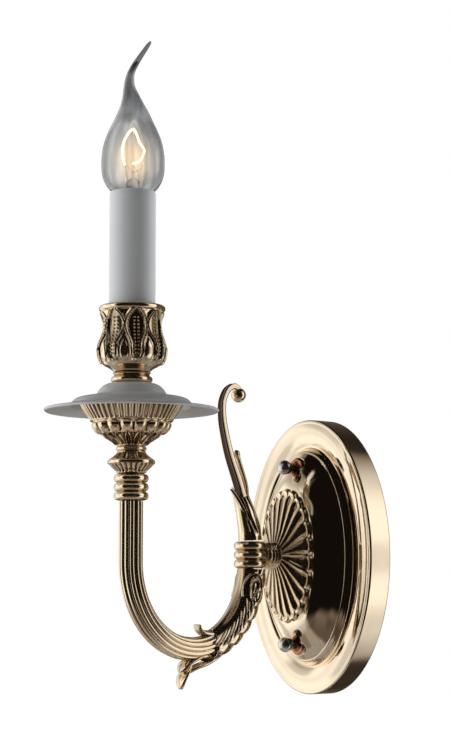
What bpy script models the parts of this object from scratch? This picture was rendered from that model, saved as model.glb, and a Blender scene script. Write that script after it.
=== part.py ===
"""One-arm electric wall sconce in the shape of a candle bracket.

Frame: origin at the centre of the oval backplate's back, on the wall. +Z is up, the arm reaches out
along -Y, and +X is to the right for someone facing the wall. Lengths are in millimetres, scaled by MM.
"""

import math

import bpy
from mathutils import Vector

MM = 0.001
GAP = 0.3                  # clearance between neighbouring solids

# Driving dimensions, millimetres
PLATE_HALF_W = 53.0        # oval backplate
PLATE_HALF_H = 80.0
PLATE_DEPTH = 15.0         # side wall, wall to front edge
RIDGE_INSET = 17.0         # flat band between the outer edge and the ridge
SEAT_DEPTH = 31.0          # wall to the top of the domed field
SHEET = 1.2                # pressed brass sheet
STUD_Z = 51.0              # the two fixing studs, above and below centre
ROSETTE_HALF_W = 22.0
ROSETTE_HALF_H = 39.0
ROSETTE_RISE = 5.0
HUB_REACH = 60.0           # wall to the hub's upright axis
CANDLE_REACH = 145.5       # wall to the candle's axis
ARM_R = 6.6                # reeded tube, over the reeds
ARM_BORE_R = 3.2
ARM_TOP_Z = 28.0           # where the candle end of the arm stops
ARM_BEND_Z = -5.0          # centre of the half-oval bend
ARM_DROP = 47.5            # depth of the bend
NIPPLE_R = 4.8             # M10 threaded tube
NIPPLE_BORE_R = 3.4
NIPPLE_HOLE_R = 5.1
LEAD_R = 2.0               # supply lead inside the arm
PAN_R = 48.0               # drip pan
PAN_RIM_Z = 77.3
CUP_Z = 98.5               # bottom of the tulip cup
CUP_TOP_Z = 137.2
SLEEVE_R = 12.8            # candle sleeve
SLEEVE_WALL = 0.9
SLEEVE_BOTTOM_Z = 104.9
SLEEVE_TOP_Z = 198.9
BULB_R = 17.6              # bent-tip candle bulb
BULB_TIP_Z = 283.7
CAP_R = 6.95               # E14 screw cap
THREAD_PITCH = 2.82

ARM_HALF_SPAN = (CANDLE_REACH - HUB_REACH) / 2
ARM_MID_Y = -(CANDLE_REACH + HUB_REACH) / 2
TAIL_DIRECTION = Vector((math.cos(math.radians(50)), math.sin(math.radians(50)), 0))

for old in list(bpy.data.objects):
    bpy.data.objects.remove(old)

collection = bpy.data.collections.new("wall_sconce")
cutters = bpy.data.collections.new("cutters")
bpy.context.scene.collection.children.link(collection)
bpy.context.scene.collection.children.link(cutters)


def make_material(name, colour, roughness, metallic):
    material = bpy.data.materials.new(name)
    material.use_nodes = True
    shader = material.node_tree.nodes["Principled BSDF"]
    shader.inputs["Base Color"].default_value = (*colour, 1)
    shader.inputs["Roughness"].default_value = roughness
    shader.inputs["Metallic"].default_value = metallic
    return material


GOLD = ((0.83, 0.62, 0.38), 0.12, 1.0)
STEEL = ((0.62, 0.62, 0.64), 0.3, 1.0)
ZINC = ((0.72, 0.72, 0.70), 0.35, 1.0)
WHITE = ((0.78, 0.80, 0.80), 0.6, 0.0)
CERAMIC = ((0.86, 0.84, 0.80), 0.5, 0.0)
GLASS = ((0.92, 0.94, 0.95), 0.03, 0.0)
FILAMENT = ((1.0, 0.78, 0.42), 0.4, 0.0)
INSULATION = ((0.80, 0.79, 0.75), 0.5, 0.0)


def add_object(name, data, finish, as_cutter=False):
    """Put an object in the model, or among the cutters, with a material of its own."""
    obj = bpy.data.objects.new(name, data)
    if as_cutter:
        cutters.objects.link(obj)
        obj.hide_render = True
        obj.display_type = "WIRE"
    else:
        collection.objects.link(obj)
        obj.data.materials.append(make_material(name, *finish))
    return obj


def scaled(points):
    return [tuple(c * MM for c in point) for point in points]


def turned(name, profile, finish, steps=20, as_cutter=False):
    """Turn a profile of (radius, height) points, listed down its outer side, about the local Z axis.

    A profile whose first and last points are off the axis closes on itself and makes a ring.
    """
    points = scaled([(r, 0, z) for r, z in profile])
    edges = [(i, i + 1) for i in range(len(points) - 1)]
    if profile[0][0] > 0:
        edges.append((len(points) - 1, 0))
    mesh = bpy.data.meshes.new(name)
    mesh.from_pydata(points, edges, [])
    obj = add_object(name, mesh, finish, as_cutter)
    screw = obj.modifiers.new("Turn", "SCREW")
    screw.steps = steps
    screw.render_steps = steps
    screw.use_merge_vertices = True
    screw.merge_threshold = 0.00001
    screw.use_smooth_shade = True
    return obj


def rod(name, radius, low, high, finish, steps=16, as_cutter=False):
    return turned(name, [(0, high), (radius, high), (radius, low), (0, low)], finish, steps, as_cutter)


def tube(name, radius, bore, low, high, finish, steps=16):
    return turned(name, [(radius, high), (radius, low), (bore, low), (bore, high)], finish, steps)


def hex_nut(name, across_flats, bore, low, high, finish):
    """A hexagon turned in six steps, bored by a finer cylinder."""
    corner = across_flats / math.sqrt(3)
    nut = turned(name, [(0, high), (corner, high), (corner, low), (0, low)], finish, steps=6)
    nut.modifiers["Turn"].use_smooth_shade = False
    drill = rod(name + "_bore", bore, low - 1, high + 1, None, 16, as_cutter=True)
    drill.parent = nut
    cut(nut, drill)
    return nut


def cut(target, cutter):
    boolean = target.modifiers.new("Cut " + cutter.name, "BOOLEAN")
    boolean.operation = "DIFFERENCE"
    boolean.solver = "EXACT"
    boolean.object = cutter


def on_candle(obj):
    """Stand a turned piece on the candle's axis."""
    obj.location = (0, -CANDLE_REACH * MM, 0)
    return obj


def facing_out(obj, z=0):
    """Lay a turned piece along -Y, its local height measured out from the wall."""
    obj.rotation_euler = (math.pi / 2, 0, 0)
    obj.location = (0, 0, z * MM)
    return obj


def loft(name, rings, finish, hollow=False, as_cutter=False):
    """Skin rings of equal length. A hollow loft joins its last ring to its first; others are capped."""
    count = len(rings[0])
    points = [tuple(p) for ring in rings for p in ring]
    faces = []
    spans = len(rings) if hollow else len(rings) - 1
    for i in range(spans):
        a = i * count
        b = ((i + 1) % len(rings)) * count
        for j in range(count):
            k = (j + 1) % count
            faces.append((a + j, a + k, b + k, b + j))
    if not hollow:
        faces.append(tuple(reversed(range(count))))
        faces.append(tuple(range(len(points) - count, len(points))))
    mesh = bpy.data.meshes.new(name)
    mesh.from_pydata(scaled(points), [], faces)
    mesh.shade_smooth()
    mesh.set_sharp_from_angle(angle=math.radians(40))
    return add_object(name, mesh, finish, as_cutter)


def oval(half_w, half_h, depth, count=36):
    """A level ring of a shape that lies flat on the wall, anticlockwise for someone facing it."""
    angles = [math.tau * i / count for i in range(count)]
    return [(half_w * math.cos(a), -depth, half_h * math.sin(a)) for a in angles]


def smooth_path(points, per_span):
    """Catmull-Rom curve through the given points."""
    path = []
    padded = [points[0] * 2 - points[1], *points, points[-1] * 2 - points[-2]]
    for i in range(1, len(padded) - 2):
        before, start, end, after = padded[i - 1:i + 3]
        for k in range(per_span):
            t = k / per_span
            path.append(0.5 * (2 * start + (end - before) * t
                               + (2 * before - 5 * start + 4 * end - after) * t ** 2
                               + (3 * start - before - 3 * end + after) * t ** 3))
    path.append(points[-1])
    return path


def heading(path, i):
    """Unit tangent of a path at its point i, with a three-point rule at both ends."""
    if i == 0:
        tangent = 4 * path[1] - 3 * path[0] - path[2]
    elif i == len(path) - 1:
        tangent = 3 * path[-1] - 4 * path[-2] + path[-3]
    else:
        tangent = path[i + 1] - path[i - 1]
    return tangent.normalized()


def rings_along(path, radii):
    """Rings square to a path that lies in the X = 0 plane. Each radius is a list over the ring."""
    rings = []
    for i, centre in enumerate(path):
        across = Vector((1, 0, 0))
        side = heading(path, i).cross(across)
        ring_radii = radii(i / (len(path) - 1))
        ring = []
        for j, r in enumerate(ring_radii):
            a = math.tau * j / len(ring_radii)
            ring.append(centre + r * (math.cos(a) * across + math.sin(a) * side))
        rings.append(ring)
    return rings


def arm_path(start, end, count):
    """Points on the arm's half-oval bend: 180 degrees is the candle side and 360 the hub side."""
    path = []
    for i in range(count + 1):
        a = math.radians(start + (end - start) * i / count)
        path.append(Vector((0, ARM_MID_Y + ARM_HALF_SPAN * math.cos(a), ARM_BEND_Z + ARM_DROP * math.sin(a))))
    return path


# Backplate: an oval pressed shell, open at the back. A band runs round the edge, then a ridge, then
# a domed field with a flat seat for the rosette and the arm.
def field_ring(share, thickness=0.0):
    """A ring on the domed field, from the ridge at share 0 to the seat at share 1."""
    ridge_w = PLATE_HALF_W - RIDGE_INSET
    ridge_h = PLATE_HALF_H - RIDGE_INSET
    ridge_depth = PLATE_DEPTH + 2.3
    rise = SEAT_DEPTH - ridge_depth
    return oval(ridge_w - thickness * 0.8 - 15.5 * share, ridge_h - thickness * 0.8 - 25.5 * share,
                ridge_depth + rise * math.sin(math.pi / 2 * share) - thickness)


def band_ring(inset, depth, thickness=0.0):
    return oval(PLATE_HALF_W - inset - thickness * 0.8, PLATE_HALF_H - inset - thickness * 0.8,
                depth - thickness)


BAND = [(0.6, PLATE_DEPTH - 0.5), (2.0, PLATE_DEPTH), (9.0, PLATE_DEPTH + 1.2), (16.0, PLATE_DEPTH + 0.6)]
FIELD = [0, 0.15, 0.35, 0.58, 0.8, 1.0]
skin = [oval(PLATE_HALF_W, PLATE_HALF_H, 0), oval(PLATE_HALF_W, PLATE_HALF_H, PLATE_DEPTH - 2)]
skin += [band_ring(inset, depth) for inset, depth in BAND]
skin += [field_ring(share) for share in FIELD]
skin += [oval(NIPPLE_HOLE_R, NIPPLE_HOLE_R, SEAT_DEPTH), oval(NIPPLE_HOLE_R, NIPPLE_HOLE_R, SEAT_DEPTH - SHEET)]
skin += [field_ring(share, SHEET) for share in reversed(FIELD[::2])]
skin += [band_ring(inset, depth, SHEET) for inset, depth in reversed(BAND[2:])]
skin += [oval(PLATE_HALF_W - SHEET, PLATE_HALF_H - SHEET, PLATE_DEPTH - 2 - SHEET),
         oval(PLATE_HALF_W - SHEET, PLATE_HALF_H - SHEET, 0)]
backplate = loft("backplate", skin, GOLD, hollow=True)

# Everything just above the domed field, used to fit the nut seats to the slope.
field_cutter = loft("field_cutter", [oval(70, 90, 5)] + [
    [(x, y - GAP, z) for x, y, z in field_ring(share)] for share in FIELD], None, as_cutter=True)

# Wall bracket: a flat steel strap on the wall that carries two studs, each held by a hexagon nut.
bpy.ops.mesh.primitive_cube_add(size=1)
wall_bracket = bpy.context.active_object
wall_bracket.name = "wall_bracket"
for vertex in wall_bracket.data.vertices:
    vertex.co.x *= 14 * MM
    vertex.co.y = -1.25 * MM + vertex.co.y * 2.5 * MM
    vertex.co.z *= 122 * MM
bpy.context.collection.objects.unlink(wall_bracket)
collection.objects.link(wall_bracket)
wall_bracket.data.materials.append(make_material("wall_bracket", *ZINC))
rounding = wall_bracket.modifiers.new("Soft edges", "BEVEL")
rounding.width = 0.3 * MM
rounding.segments = 1
for end, sign in (("upper", 1), ("lower", -1)):
    z = sign * STUD_Z
    cut(wall_bracket, facing_out(rod(end + "_stud_hole", 2.35, -1, 4, None, 16, True), z))
    cut(backplate, facing_out(rod(end + "_plate_hole", 2.6, 10, 40, None, 16, True), z))
    facing_out(rod(end + "_stud", 2.0, 0.4, 31, ZINC, 16), z)
    facing_out(hex_nut(end + "_stud_nut", 7, 2.35, 2.5 + GAP, 5.6, ZINC), z)
    # The seat is a domed collar whose back follows the slope of the field.
    seat = facing_out(turned(end + "_nut_seat", [(4.2, 28.6), (5.6, 28.2), (6.4, 27.2), (6.6, 26.0),
                                                 (6.6, 18), (2.6, 18), (2.6, 28.6)], GOLD, 16), z)
    cut(seat, field_cutter)
    # The nut is a polished ball with a short neck and a blind threaded hole.
    facing_out(turned(end + "_cap_nut", [
        (0, 37.6), (1.9, 37.2), (3.5, 36.1), (4.5, 34.5), (4.85, 32.7), (4.5, 31.0), (3.6, 29.7), (3.6, 28.9),
        (2.35, 28.9), (2.35, 32.2), (0, 32.6)], STEEL, 20), z)
for offset in (-1, 1):
    cut(wall_bracket, facing_out(rod(f"screw_hole_{offset}", 2.2, -1, 4, None, 16, True), offset * 30))

# Earth screw: a pan-head screw standing on the strap, above the terminal block.
earth_screw = facing_out(turned("earth_screw", [
    (0, 6.2), (2.6, 6.0), (3.6, 5.2), (3.6, 4.0), (3.6, 2.5 + GAP), (0, 2.5 + GAP)], GOLD, 16), 40)

# Shell rosette: a fluted oval shell over the plate's seat.
LOBES = 24


def shell_ring(share, lift, fluting):
    """A ring of the shell from its rim at share 0 to its bore at share 1, waved by its flutes."""
    count = LOBES * 2
    half_w = ROSETTE_HALF_W + (NIPPLE_HOLE_R - ROSETTE_HALF_W) * share
    half_h = ROSETTE_HALF_H + (NIPPLE_HOLE_R - ROSETTE_HALF_H) * share
    ring = []
    for i in range(count):
        a = math.tau * i / count
        crest = fluting if i % 2 == 0 else -fluting
        depth = SEAT_DEPTH + GAP + lift + crest
        ring.append((half_w * math.cos(a), -depth, half_h * math.sin(a)))
    return ring


SHELL = [(0.0, 1.6, 0.0), (0.05, 2.6, 0.2), (0.25, 4.0, 0.6), (0.5, 5.2, 0.6), (0.75, ROSETTE_RISE + 1.0, 0.3),
         (1.0, ROSETTE_RISE + 1.4, 0.0)]
shell = [shell_ring(0, 0.2, 0)] + [shell_ring(*row) for row in SHELL]
shell += [shell_ring(1.0, 0.0, 0.0), shell_ring(0.1, 0.0, 0.0)]
shell_rosette = loft("shell_rosette", shell, GOLD, hollow=True)

# Boss: the ringed spacer between the rosette and the hub.
BOSS_BACK = SEAT_DEPTH + ROSETTE_RISE + 2.0
facing_out(turned("boss_collar", [
    (7.6, 50.2), (7.6, 47.6), (6.9, 46.9), (7.9, 46.0), (7.9, 44.6), (6.9, 43.7), (7.9, 42.8), (7.9, 41.4),
    (7.0, 40.4), (7.4, BOSS_BACK), (NIPPLE_HOLE_R, BOSS_BACK),
    (NIPPLE_HOLE_R, 50.2)], GOLD))

# The arm is clamped to the plate by a threaded tube, a washer and a hexagon nut.
facing_out(tube("arm_nipple", NIPPLE_R, NIPPLE_BORE_R, 20, 54, ZINC))
facing_out(tube("arm_lock_washer", 9, NIPPLE_HOLE_R, 27.8, SEAT_DEPTH - SHEET - GAP, ZINC))
facing_out(hex_nut("arm_lock_nut", 14, NIPPLE_HOLE_R, 24.0, 27.5, ZINC))

# Hub: three rings on an upright axis, bored from behind for the nipple and from below for the lead.
RING_PITCH = 5.1


def ringed_profile(groove_r, ring_r, middle_z, pitch, rings=3):
    """Down the outside of a stack of round rings with grooves between them."""
    profile = [(groove_r, middle_z + rings * pitch / 2)]
    for k in range(rings):
        centre = middle_z + ((rings - 1) / 2 - k) * pitch
        bead = pitch * 0.44
        for a in (50, 0, -50):
            profile.append((ring_r - bead + bead * math.cos(math.radians(a)),
                            centre + bead * math.sin(math.radians(a))))
        profile.append((groove_r, centre - pitch / 2))
    return profile


hub = turned("arm_hub", [(0, 7.65)] + ringed_profile(7.4, 9.4, 0, RING_PITCH) + [(0, -7.65)], GOLD)
hub.location = (0, -HUB_REACH * MM, 0)
cut(hub, facing_out(rod("hub_back_bore", NIPPLE_HOLE_R, 45, HUB_REACH, None, 16, True)))
lower_bore = rod("hub_lower_bore", 4.4, -12, 4.4, None, 15, True)
lower_bore.location = (0, -HUB_REACH * MM, 0)
cut(hub, lower_bore)

# Scroll: an S-shaped tapering rod above the hub that curls over into a ball.
SCROLL_POINTS = [Vector((0, y, z)) for y, z in (
    (-60.0, 8.3), (-60.4, 14.0), (-63.6, 25.0), (-69.0, 40.5), (-76.2, 58.0), (-80.6, 76.0), (-78.4, 89.5),
    (-73.6, 94.0))]
scroll_path = smooth_path(SCROLL_POINTS, 3)


def scroll_radii(share):
    taper = 5.2 * (1 - share) ** 1.2 + 2.1
    return [taper] * 10


scroll_rings = rings_along(scroll_path, scroll_radii)
BALL_R = 4.2
tip = scroll_path[-1]
end_heading = heading(scroll_path, len(scroll_path) - 1)
side = end_heading.cross(Vector((1, 0, 0)))
neck_angle = math.asin(2.1 / BALL_R)
for k in range(1, 6):
    angle = neck_angle + (math.pi - neck_angle) * k / 6
    centre = tip + end_heading * BALL_R * (math.cos(neck_angle) - math.cos(angle))
    radius = BALL_R * math.sin(angle)
    scroll_rings.append([centre + radius * (math.cos(math.tau * j / 10) * Vector((1, 0, 0))
                                            + math.sin(math.tau * j / 10) * side) for j in range(10)])
scroll = loft("scroll", scroll_rings, GOLD)

# Leaf sheath round the foot of the scroll.
sheath_path = smooth_path(SCROLL_POINTS[:4], 3)[:9]


def sheath_outer(share):
    return [9.0 - 1.6 * share] * 16


def sheath_inner(share):
    return [5.2 * (1 - share * 0.25) ** 1.2 + 2.1 + 0.45] * 16


loft("scroll_leaf", rings_along(sheath_path, sheath_outer)
     + list(reversed(rings_along(sheath_path, sheath_inner))), GOLD, hollow=True)

# Arm: a reeded tube, straight down from the candle and round the half-oval bend to the hub.
REEDS = 12
lower_path = [Vector((0, -CANDLE_REACH, z)) for z in (ARM_TOP_Z, 17.0, 6.0)] + arm_path(180, 355.5, 11)


def reeded(share):
    return [ARM_R if j % 2 == 0 else ARM_R - 0.8 for j in range(REEDS * 2)]


def arm_bore(share):
    return [ARM_BORE_R] * (REEDS * 2)


lower_arm = loft("lower_arm", rings_along(lower_path, reeded)
                 + list(reversed(rings_along(lower_path, arm_bore))), GOLD, hollow=True)
cut(lower_arm, on_candle(rod("arm_socket", NIPPLE_HOLE_R, 15, 40, None, 15, True)))

# Leaf sheath over the hub half of the bend, and the leaf tip that curls away below it.
hub_half = arm_path(276, 354.8, 6)


def leaf_outer(share):
    return [8.4 + 1.6 * math.sin(math.pi * (0.25 + 0.6 * share))] * 16


def leaf_inner(share):
    return [ARM_R + 0.5] * 16


loft("arm_leaf", rings_along(hub_half, leaf_outer)
     + list(reversed(rings_along(hub_half, leaf_inner))), GOLD, hollow=True)

leaf_path = smooth_path([Vector((0, y, z)) for y, z in (
    (-91.0, -62.1), (-98.5, -63.9), (-104.5, -65.4), (-108.8, -68.8), (-109.5, -74.5))], 3)
leaf_rings = []
for i, centre in enumerate(leaf_path):
    share = i / (len(leaf_path) - 1)
    side = heading(leaf_path, i).cross(Vector((1, 0, 0)))
    half_width = 6.0 * (1 - share) ** 0.7 + 0.8
    leaf_rings.append([centre + half_width * math.cos(a) * Vector((1, 0, 0)) + 1.1 * math.sin(a) * side
                       for a in (math.tau * j / 10 for j in range(10))])
loft("leaf_tip", leaf_rings, GOLD)

# Candle stack, from the arm upwards: ringed collar, knop, collar, bowl, drip pan, foot and tulip cup.
on_candle(turned("ring_collar", ringed_profile(7.3, 9.2, 35.5, 4.85)
                 + [(NIPPLE_HOLE_R, 28.3), (NIPPLE_HOLE_R, 42.7)], GOLD))
on_candle(turned("knop", [
    (8.0, 55.0), (9.4, 53.0), (11.6, 51.0), (12.9, 49.2), (12.9, 48.2), (11.2, 46.2), (8.8, 44.0), (7.8, 43.1),
    (NIPPLE_HOLE_R, 43.1), (NIPPLE_HOLE_R, 55.0)], GOLD))
on_candle(turned("bowl_collar", [
    (7.4, 57.6), (8.3, 56.9), (8.3, 56.0), (7.4, 55.3), (NIPPLE_HOLE_R, 55.3), (NIPPLE_HOLE_R, 57.6)], GOLD))
on_candle(turned("bowl", [
    (29.0, 81.6), (28.4, 80.0), (24.8, 74.4), (22.6, 70.9), (20.4, 69.2), (18.8, 66.8), (15.2, 63.6),
    (10.5, 60.4), (7.9, 57.9), (NIPPLE_HOLE_R, 57.9), (NIPPLE_HOLE_R, 61.0), (9.6, 62.2), (17.2, 68.2),
    (23.0, 75.4), (27.6, 81.6)], GOLD, 28))
PAN_TOP = [(5.1, 92.5), (11.2, 92.5), (12.0, 91.4), (18.8, 88.0), (19.8, 86.2), (32.4, 82.8), (33.6, 81.2),
           (46.4, 78.5)]
PAN_RIM = [(47.6, 78.2), (PAN_R, 77.4), (47.2, 76.6)]
on_candle(turned("drip_pan", PAN_TOP + PAN_RIM
                 + [(r - 0.5, z - 1.3) for r, z in reversed(PAN_TOP[1:])] + [(5.1, 91.2)], WHITE, 32))
on_candle(turned("cup_foot", [
    (10.4, 98.2), (9.7, 97.0), (10.6, 95.9), (11.4, 94.5), (10.6, 92.8), (NIPPLE_HOLE_R, 92.8),
    (NIPPLE_HOLE_R, 98.2)], GOLD))
CUP_BORE_R = SLEEVE_R + 0.7
on_candle(turned("tulip_cup", [
    (17.3, CUP_TOP_Z), (17.9, 136.0), (17.0, 132.5), (15.9, 128.0), (15.7, 122.5), (16.9, 116.0), (18.9, 109.0),
    (17.6, 104.6), (13.6, 100.6), (10.2, CUP_Z), (NIPPLE_HOLE_R, CUP_Z), (NIPPLE_HOLE_R, 101.0),
    (9.6, 101.0), (CUP_BORE_R, 103.0), (CUP_BORE_R, 130.0), (15.8, CUP_TOP_Z)], GOLD, 28))

# Inside the candle: nipple, lock nut, holder stem, lampholder and its screw shell and contact.
on_candle(tube("candle_nipple", NIPPLE_R, NIPPLE_BORE_R, 15.5, 118, ZINC))
on_candle(hex_nut("candle_lock_nut", 14, NIPPLE_HOLE_R, 101.3, 104.6, ZINC))
on_candle(turned("holder_stem", [
    (6.4, 150.0), (6.4, 106.0), (7.4, 104.9), (NIPPLE_HOLE_R, 104.9), (NIPPLE_HOLE_R, 121.0), (3.2, 123.0),
    (3.2, 150.0)], ZINC, 24))
HOLDER_R = SLEEVE_R - SLEEVE_WALL - 0.5
on_candle(turned("lampholder", [
    (8.5, 196.8), (HOLDER_R, 196.0), (HOLDER_R, 153.0), (9.0, 150.3), (3.2, 150.3), (3.2, 161.5), (8.5, 162.4)],
    CERAMIC))
on_candle(tube("socket_shell", 8.1, CAP_R + 0.35, 172, 196, GOLD, 24))
on_candle(turned("socket_contact", [
    (0, 166.4), (3.6, 166.0), (6.4, 163.6), (7.6, 163.4), (7.6, 162.8), (6.2, 162.8), (3.4, 165.2), (0, 165.6)],
    STEEL, 16))
on_candle(tube("candle_sleeve", SLEEVE_R, SLEEVE_R - SLEEVE_WALL, SLEEVE_BOTTOM_Z, SLEEVE_TOP_Z, WHITE, 32))

# Bulb: brass screw cap, solder contact, clear glass with a swept tail, glass stem and lit filament.
on_candle(turned("bulb_cap", [
    (CAP_R, 195.3), (CAP_R, 174.0), (4.9, 171.2), (4.4, 171.6), (6.35, 174.4), (6.35, 195.3)], ZINC, 24))
on_candle(turned("bulb_contact", [
    (0, 171.4), (4.0, 170.9), (3.0, 168.4), (2.2, 167.0), (0, 166.8)], STEEL, 24))
GLASS_BODY = [(5.9, 185.0), (6.0, 195.7), (8.0, 197.4), (12.4, 199.9), (15.6, 204.4), (17.2, 209.2), (BULB_R, 214.5),
              (17.3, 220.5), (16.1, 227.0), (13.9, 233.0), (11.2, 238.8), (8.5, 244.7)]
TAIL = [Vector((r, z, sway)) for r, z, sway in (
    (8.5, 244.7, 0.0), (4.5, 254.6, -1.4), (2.7, 262.5, -2.7), (2.0, 271.5, -0.3), (1.6, 278.5, 4.0))]
tail_path = smooth_path(TAIL, 2)[1:]
GLASS_WALL = 0.7


def glass_ring(radius, z, sway, count=16):
    centre = Vector((0, -CANDLE_REACH, z)) + TAIL_DIRECTION * sway
    return [centre + Vector((radius * math.cos(a), radius * math.sin(a), 0))
            for a in (math.tau * j / count for j in range(count))]


outer_rings = [glass_ring(r, z, 0) for r, z in GLASS_BODY] + [glass_ring(p.x, p.y, p.z) for p in tail_path]
outer_rings += [glass_ring(1.3, 281.5, 6.0), glass_ring(0.8, 283.1, 7.0), glass_ring(0.3, BULB_TIP_Z, 7.3)]
inner_rings = [glass_ring(r - GLASS_WALL, z, 0) for r, z in GLASS_BODY[1:]]
inner_rings += [glass_ring(p.x - GLASS_WALL, p.y, p.z) for p in tail_path[:3]]
inner_rings = [glass_ring(5.2, 185.0, 0)] + inner_rings
bulb_glass = loft("bulb_glass", outer_rings, GLASS)
hollow_cutter = loft("bulb_hollow", [glass_ring(5.2, 184.0, 0)] + inner_rings, None, as_cutter=True)
cut(bulb_glass, hollow_cutter)
on_candle(turned("bulb_stem", [
    (0, 211.0), (1.5, 210.4), (1.7, 208.6), (1.1, 207.4), (1.1, 204.0), (2.4, 201.6), (3.2, 197.0), (4.0, 189.0),
    (0, 189.0)], GLASS, 20))
FILAMENT_CORNERS = [(0.0, 211.6), (-4.8, 216.0), (-5.4, 228.6), (0.0, 235.0), (4.6, 226.0), (6.0, 222.5), (3.0, 214.5)]
filament_curve = bpy.data.curves.new("bulb_filament", "CURVE")
filament_curve.dimensions = "3D"
filament_curve.bevel_depth = 0.3 * MM
filament_curve.bevel_resolution = 2
filament_curve.use_fill_caps = True
spline = filament_curve.splines.new("POLY")
spline.points.add(len(FILAMENT_CORNERS) - 1)
for point, (reach, z) in zip(spline.points, FILAMENT_CORNERS):
    place = TAIL_DIRECTION * reach + Vector((0, -CANDLE_REACH, z))
    point.co = (*(place * MM), 1)
add_object("bulb_filament", filament_curve, FILAMENT)

# Supply lead: from the terminal block, through the nipple, hub and arm, up to the lampholder.
lead_points = [Vector((0, y, 0)) for y in (-16, -28, -40, -52)]
lead_points += [Vector((0, -HUB_REACH + 3.4, -0.8)), Vector((0, -HUB_REACH + 0.5, -4.4))]
lead_points += list(reversed(arm_path(180, 354, 12)))
lead_points += [Vector((0, -CANDLE_REACH, z)) for z in (10, 40, 80, 120, 152)]
lead_curve = bpy.data.curves.new("supply_lead", "CURVE")
lead_curve.dimensions = "3D"
lead_curve.bevel_depth = LEAD_R * MM
lead_curve.bevel_resolution = 2
lead_curve.use_fill_caps = True
lead_path = smooth_path(lead_points, 1)
spline = lead_curve.splines.new("POLY")
spline.points.add(len(lead_path) - 1)
for point, place in zip(spline.points, lead_path):
    point.co = (*(place * MM), 1)
add_object("supply_lead", lead_curve, INSULATION)

# Terminal block: a small moulding in front of the strap that the lead's tail ends in.
bpy.ops.mesh.primitive_cube_add(size=1)
terminal_block = bpy.context.active_object
terminal_block.name = "terminal_block"
for vertex in terminal_block.data.vertices:
    vertex.co.x *= 18 * MM
    vertex.co.y = -9.2 * MM + vertex.co.y * 12.8 * MM
    vertex.co.z *= 16 * MM
bpy.context.collection.objects.unlink(terminal_block)
collection.objects.link(terminal_block)
terminal_block.data.materials.append(make_material("terminal_block", *WHITE))
rounding = terminal_block.modifiers.new("Soft edges", "BEVEL")
rounding.width = 0.6 * MM
rounding.segments = 2
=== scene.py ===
import math

import bpy
import numpy as np
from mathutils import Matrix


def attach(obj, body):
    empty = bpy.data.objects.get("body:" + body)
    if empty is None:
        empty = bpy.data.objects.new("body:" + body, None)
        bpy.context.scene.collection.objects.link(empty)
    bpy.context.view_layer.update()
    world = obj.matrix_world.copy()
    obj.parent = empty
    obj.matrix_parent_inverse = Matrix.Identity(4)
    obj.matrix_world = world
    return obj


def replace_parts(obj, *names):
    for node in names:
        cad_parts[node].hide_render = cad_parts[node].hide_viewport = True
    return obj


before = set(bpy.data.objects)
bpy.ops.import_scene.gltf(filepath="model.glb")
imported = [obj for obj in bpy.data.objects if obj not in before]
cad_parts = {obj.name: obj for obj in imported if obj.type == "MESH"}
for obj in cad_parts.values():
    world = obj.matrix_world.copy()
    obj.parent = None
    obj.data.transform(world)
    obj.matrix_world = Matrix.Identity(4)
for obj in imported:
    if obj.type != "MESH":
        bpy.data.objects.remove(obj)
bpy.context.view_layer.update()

# ---------------------------------------------------------------- The studio
# A white tent for polished metal, with a dark opening on the camera's side, a dark wall behind the
# plate, darker cloth overhead and underfoot, and soft folds. Matt surfaces see the opening further
# round. The camera stands to the right of the arm, a little below it, and looks up at the candle.
CAMERA_PLACE = (0.826, -0.7715, -0.025)
CAMERA_AZIMUTH = math.radians(50)
CAMERA_PITCH = math.radians(6.8)
CAMERA_LENS = 91.8
FLOOR_Z = -0.52
FLOOR_RADIUS = 0.30

scene = bpy.context.scene
scene.view_settings.view_transform = "Standard"
camera_data = bpy.data.cameras.new("studio_camera")
camera_data.lens = CAMERA_LENS
camera = bpy.data.objects.new("studio_camera", camera_data)
camera.location = CAMERA_PLACE
camera.rotation_euler = (math.pi / 2 + CAMERA_PITCH, 0, CAMERA_AZIMUTH)
scene.collection.objects.link(camera)
scene.camera = camera


class Value:
    """An output socket that takes part in Python sums: each operator adds a Math node."""

    def __init__(self, graph, socket):
        self.graph = graph
        self.socket = socket

    def maths(self, operation, *terms):
        return self.graph.add("ShaderNodeMath", {"operation": operation}, *terms)

    def out(self, name):
        """Another output of the node that this value comes from."""
        outputs = self.socket.node.outputs
        return Value(self.graph, next(s for s in outputs if s.name == name and s.enabled))

    def __add__(self, other):
        return self.maths("ADD", self, other)

    __radd__ = __add__

    def __sub__(self, other):
        return self.maths("SUBTRACT", self, other)

    def __rsub__(self, other):
        return self.maths("SUBTRACT", other, self)

    def __mul__(self, other):
        return self.maths("MULTIPLY", self, other)

    __rmul__ = __mul__

    def __truediv__(self, other):
        return self.maths("DIVIDE", self, other)

    def __pow__(self, other):
        return self.maths("POWER", self, other)

    def __abs__(self):
        return self.maths("ABSOLUTE", self)


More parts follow.
